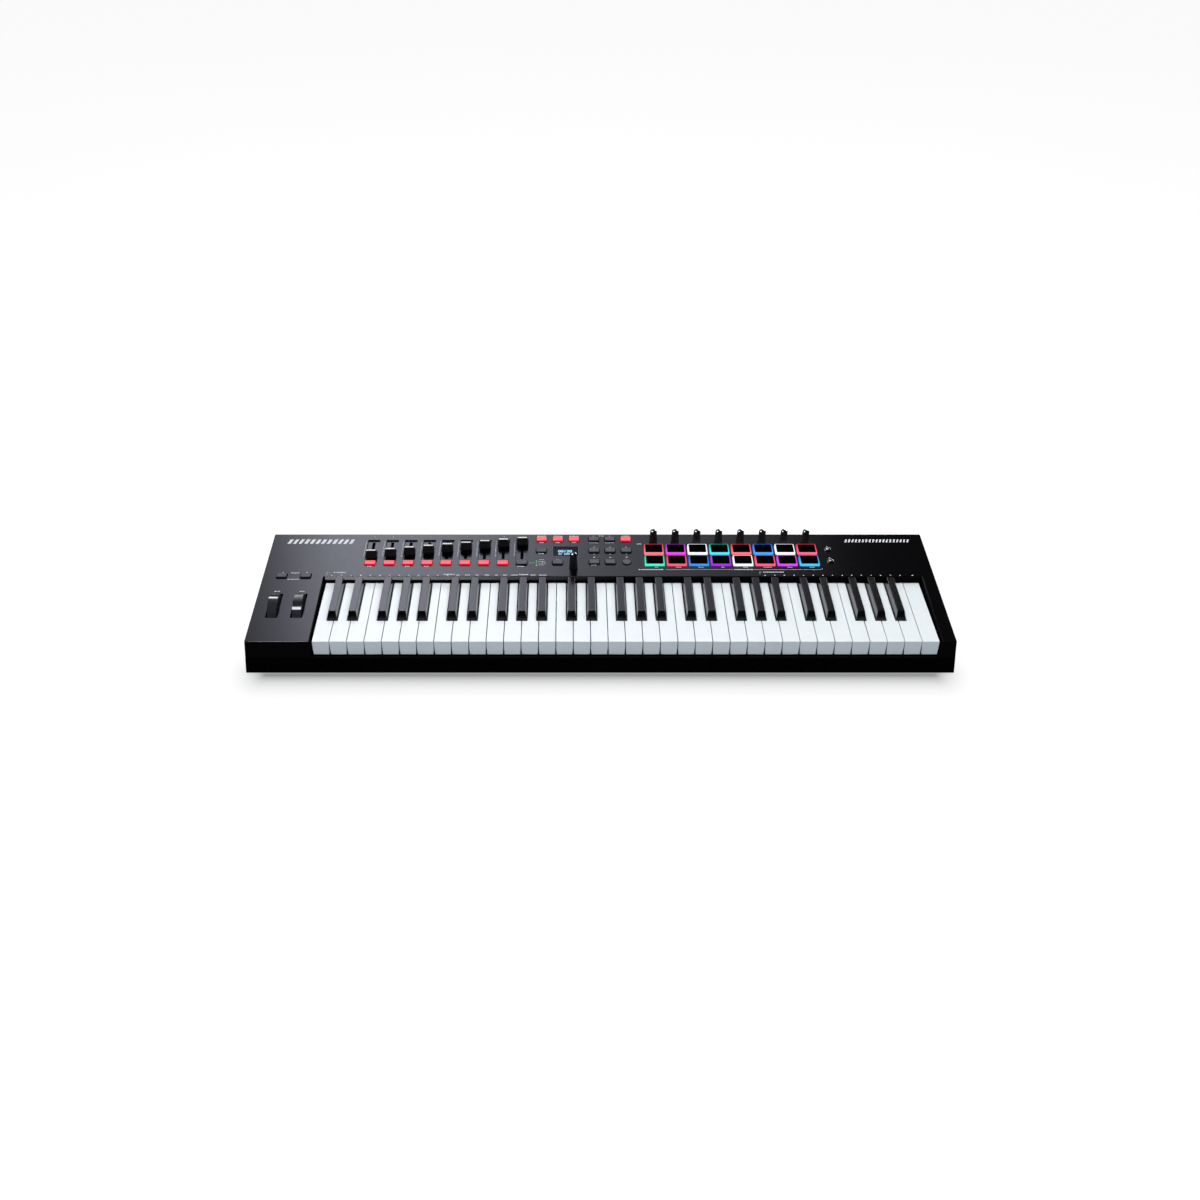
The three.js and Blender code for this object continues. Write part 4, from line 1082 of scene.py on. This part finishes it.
def transport_print():
    dashes(WHITE, (6, 121.4, 8.4, 1.4), (TRANSPORT_SPOTS[2][0], 121.4, 12, 1.5))
    for x, u in TRANSPORT_SPOTS[:2]:
        dashes(GREY, (x, u - 8, 14, 1.3))
        bars(WHITE, (x, u + 9.4, 1.6, 1.6))
    for x, u in TRANSPORT_SPOTS[3:6]:
        bars(GREY, (x, u + 9.4, 2.2, 1.3), (x, u - 8, 1.5, 1.2))
    WHITE.extend(dot(x, 67.6, 1.1) for x, _ in TRANSPORT_SPOTS[6:])
    dashes(GREY, (TRANSPORT_SPOTS[6][0] - 0.4, 48.2, 8.6, 1.2))


def key_print():
    """Function labels along the edge over the keys."""
    bars(WHITE, *[(-379.6 + 13.7 * k, 23.9, 2.4 if k % 2 else 1.7, 1.5) for k in range(14)])
    bars(WHITE, *[(236.7 + 13.7 * k, 23.6, 1.9, 1.5) for k in range(15)], (446.2, 23.4, 2.2, 1.5))
    names = ((-200, 5), (-186.5, 7.5), (-173, 5), (-159, 6.5), (-145.5, 4), (-132.8, 6.4))
    names += ((-119.7, 10), (-93, 7.7), (-79.5, 10.6))
    bars(WHITE, *[(x, 24.2, width, 1.2) for x, width in names])
    dashes(WHITE, (-368.8, 30.6, 18, 1.7), (-212, 26, 17, 1.8), (-107, 25.4, 12.8, 1.9))
    bars(GREY, (-387, 27.4, 0.5, 7.4), (-384.6, 30.6, 4.4, 0.5))


def wheel_print():
    dashes(WHITE, (-432.3, 29.3, 11.5, 1.5), (-433, 14, 16, 1.5))
    dashes(WHITE, (-450.4, -14.4, 8.5, 1.5), (-416, -14.4, 6.5, 1.5))
    bars(WHITE, *[(x + 0.6, 30.2, 1.8, 1.5) for x, _ in OCTAVE_SPOTS])


def printing():
    fader_print()
    pad_print()
    bank_print()
    transport_print()
    key_print()
    wheel_print()
    stripes(-455, 8.2, 12, 107, 4.6, 11, 3.5)
    stripes(362, 5.05, 19, 109, 2.6, 7.4, 2.2)
    piece("panel_white_print", *merged(*WHITE), WHITE_INK, CASE, PANEL, 30)
    piece("panel_grey_print", *merged(*GREY), GREY_INK, CASE, PANEL, 30)
    # Each scene button carries an arrow head on its cap.
    size, on_cap = 4.2, PANEL @ Matrix.Translation((0, 0, 1.66 * MM))
    for i, (x, u) in enumerate(SCENE_SPOTS):
        tail, tip = x + 0.2 - size * 0.45, x + 0.2 + size * 0.55
        arrow = inked([(tail, u - size / 2), (tip, u), (tail, u + size / 2)])
        piece(f"scene_arrow_{i + 1}", *arrow, WHITE_INSERT, "scene_buttons", on_cap)


def status_lights():
    colours = ((40, 200, 130), (60, 190, 150), (70, 160, 140), (240, 220, 90))
    for i, colour in enumerate(colours):
        name, u = f"status_light_{i + 1}", 58.4 - 3.6 * i
        lamp = turned((-89, u), [(-0.1, 0.9), (0.1, 0.9), (0.4, 0.7), (0.5, 0.3)], 20)
        finish = lit(name, colour, colour, 1.1, (u, 1, 0))
        piece(name, *lamp, finish, CASE, PANEL)


printing()
status_lights()


# ---- display
def display():
    x, u = DISPLAY_SPOT
    lens = block((x, u), (35.3, 22.9), 1.2, [(-2, 0.1), (-1.8, 0), (-0.45, 0), (-0.2, 0.25)], 5)
    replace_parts(piece("display_window", *lens, LENS, CASE, PANEL), "display_lens")
    screen = (x - 0.3, u + 0.1)
    board = block((x, u), (34.4, 22), 0.8, [(-12.7, 0.2), (-12.4, 0), (-3.5, 0), (-3.2, 0.3)], 3)
    glass = block(screen, (25, 18), 0.8, [(-3.3, 0), (-2.5, 0), (-2.4, 0.15)], 3)
    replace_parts(piece("display_body", *merged(board, glass), SCREEN_BACK, CASE, PANEL), "display_module")
    span = (u, 8, -2)
    blue = lit("display_pixels", (170, 235, 248), (205, 246, 255), 5.0, span)
    glow = lit("display_glow", (2, 8, 12), (3, 10, 14), 0.8, span)
    back = block(screen, (23.4, 16.2), 1.6, [(-2.42, 0), (-2.34, 0.05)], 6)
    piece("display_backlight", *back, glow, CASE, PANEL)
    # A large number over a small one and a level bar, as such screens show.
    face = -2.36
    marks = [digits("00120", (x - 1, u + 2.6), 8.2, face, 0.16)]
    marks.append(digits("04", (x - 8.2, u - 4), 4.6, face, 0.1))
    for k in range(5):
        marks.append(block((x - 1.5 + 2.1 * k, u - 4), (1.5, 2.6), 0.3, [(face, 0), (face + 0.04, 0)], 2))
    piece("display_marks", *merged(*marks), blue, CASE, PANEL)
    rim = []
    for side in (-1, 1):
        bars(rim, (x, u + side * 12.4, 37.4, 0.5), (x + side * 18.6, u, 0.5, 25.2))
    piece("display_rim_print", *merged(*rim), DARK_INK, CASE, PANEL)


display()

# ---- studio
# Brightness of the card behind the object, from its right end to its left end.
SHEEN_STOPS = [(0.0, 0.0), (0.17, 0.0), (0.22, 0.07), (0.37, 0.2), (0.5, 0.32), (0.66, 0.8), (0.82, 1.0)]
SHEEN_STOPS.append((0.905, 0.15))
CASE_PARTS = ("top_case", "bottom_case", "midi", "pedal", "usb", "power")
SHINY_PARTS = ("black_key", "pitch_wheel", "mod_wheel", "fader_cap")
ROUND_PARTS = ("knob", "select_knob", "scene_button")


def softbox(name, at, aim, size, power, diffuse=True, colour=(1, 1, 1), only=None):
    """An area light that either lights surfaces evenly or is only seen mirrored in them.

    Where only is given, it lights just the pieces whose names start in one of those ways.
    """
    data = bpy.data.lights.new(name, "AREA")
    data.shape = "RECTANGLE"
    data.size, data.size_y = size
    data.energy = power
    data.color = colour
    obj = linked(name, data)
    obj.location = at
    obj.rotation_mode = "QUATERNION"
    obj.rotation_quaternion = (Vector(aim) - Vector(at)).to_track_quat("-Z", "Y")
    obj.visible_diffuse = diffuse
    obj.visible_glossy = not diffuse
    obj.visible_camera = False
    if only:
        group = bpy.data.collections.new(f"{name}_pieces")
        for part in [o for o in bpy.data.objects if o.type == "MESH" and o.name.startswith(only)]:
            group.objects.link(part)
        obj.light_linking.receiver_collection = group
    return obj


def graded(lamp, stops):
    """Brightness along a softbox, as (place, level) pairs."""
    n = Tree(lamp.data)
    along = n.split(n.add("NewGeometry").outputs["Parametric"], "X")
    ramp = n.add("ValToRGB", {0: along})
    n.plug(ramp.outputs["Color"], n.tree.nodes["Emission"].inputs["Strength"])
    marks = ramp.color_ramp.elements
    while len(marks) < len(stops):
        marks.new(0.5)
    for element, (place, level) in zip(marks, stops):
        element.position = place
        element.color = (level, level, level, 1)


def lights():
    softbox("overhead", (0.1, -0.5, 2.2), (0, 0, 0), (2.6, 1.6), 52)
    softbox("back_wide", (0.1, 1.9, 1.75), (0, 0, 0.03), (2.6, 0.7), 12)
    softbox("front_fill", (0.1, -2.2, 0.9), (0, 0, 0.05), (2.4, 1.0), 18, colour=(0.78, 0.87, 1))
    # The sheen on the panel comes from a wide card behind the object that is brightest at the left.
    sheen = softbox("back_sheen", (0, 1.9, 1.55), (0, 0, 0.06), (2.4, 0.95), 29, False, (0.83, 0.85, 1))
    graded(sheen, SHEEN_STOPS)
    # Small bright cards draw the highlights on rounded edges and caps.
    cards = [
        ("left_rim", (-1, 1.9, 0.45), (0, 0, 0.06), (1.2, 0.6), 13, SHINY_PARTS),
        ("right_rim", (1, 1.9, 0.45), (0, 0, 0.06), (1.2, 0.6), 13, SHINY_PARTS),
        ("cap_front", (-0.7, 0.6, 2.0), (0, 0, 0.08), (1.0, 0.9), 120, ROUND_PARTS),
        ("cap_back", (1.0, 1.9, 0.7), (0, 0, 0.08), (1.0, 0.9), 60, ROUND_PARTS),
    ]
    for name, at, aim, size, power, parts in cards:
        softbox(name, at, aim, size, power, False, only=parts)
    at, aim = (-0.65, -1.3, 1.7), (-0.3, -0.1, 0.06)
    softbox("front_edge", at, aim, (0.9, 0.7), 45, False, (0.9, 0.94, 1), "top_case")
    # The case's back and ends are lit on their own, level with them, so that the panel isn't touched.
    softbox("rear_fill", (0, 2.2, 0.14), (0, 0, 0.04), (2.4, 0.2), 260, only=CASE_PARTS)
    for side in (-1, 1):
        softbox("end_fill", (side * 2.2, 0, 0.11), (0, 0, 0.04), (0.6, 0.2), 160, only=CASE_PARTS)
    at, aim = (-0.33, -0.8, 0.8), (-0.33, 0.02, 0.06)
    strip = softbox("strip_light", at, aim, (0.3, 0.2), 30, only="fallboard_strip")
    strip.data.spread = radians(24)


def surroundings():
    """Plain white to the camera, and nearly dark to everything else."""
    world = bpy.data.worlds.new("studio")
    bpy.context.scene.world = world
    n = Tree(world)
    sky = n.tree.nodes["Background"]
    seen = n.add("LightPath").outputs["Is Camera Ray"]
    level = n.add("MapRange", {"Value": seen, "To Min": 0.018, "To Max": 1.0})
    n.plug(level.outputs[0], sky.inputs["Strength"])
    n.plug((1, 1, 1, 1), sky.inputs["Color"])


def ground():
    """An even white ground whose glow to the camera dims close to the object's front edge: a painted shadow.
    """
    painted_shadow_half_width, painted_shadow_reach, reach = 0.455, 0.0205, 15
    n = Nodes("studio_floor")
    path = n.add("LightPath")
    tone = n.mix(n.between(n.noise(0.6, 2), 0, 1), (0.12, 0.12, 0.12, 1), (0.13, 0.13, 0.13, 1))
    tone = n.mix(path.outputs["Is Glossy Ray"], tone, (0.02, 0.02, 0.02, 1))
    n.feed(Base_Color=tone, Roughness=0.6, Specular_IOR_Level=0.1, Emission_Color=(1, 1, 1, 1))
    beyond = n.vector("SUBTRACT", n.vector("ABSOLUTE", n.where), (painted_shadow_half_width, 10, 10))
    beyond = n.vector("MAXIMUM", beyond, (0, 0, 0))
    ahead = n.maths("ADD", n.split(n.where, "Y"), HALF_DEPTH * MM)
    offset = n.add("CombineXYZ", {"X": n.split(beyond, "X"), "Y": ahead}).outputs[0]
    away = n.add("VectorMath", {0: offset}, operation="LENGTH").outputs["Value"]
    # Painted shadow: the glow falls from 0.95 to 0.2 towards the case's front edge.
    fall = n.maths("EXPONENT", n.maths("MULTIPLY", away, -1 / painted_shadow_reach))
    glow = n.add("MapRange", {"Value": fall, "To Min": 0.95, "To Max": 0.2}).outputs[0]
    n.feed(Emission_Strength=n.maths("MULTIPLY", glow, path.outputs["Is Camera Ray"]))
    mesh = bpy.data.meshes.new("studio_floor")
    corners = [(-reach, -reach, 0), (reach, -reach, 0), (reach, reach, 0), (-reach, reach, 0)]
    mesh.from_pydata(corners, [], [(0, 1, 2, 3)])
    mesh.materials.append(n.material)
    linked("studio_floor", mesh)


def camera():
    data = bpy.data.cameras.new("camera")
    data.sensor_width = 36
    data.lens = 43.05
    data.shift_x = 0.02625
    data.clip_start, data.clip_end = 0.05, 60
    obj = linked("camera", data)
    obj.location = (-0.0429, -1.6763, 1.1941)
    obj.rotation_euler = (radians(90 - 34.6), 0, 0)
    bpy.context.scene.camera = obj


lights()
surroundings()
ground()
camera()
bpy.context.scene.view_settings.view_transform = "Standard"
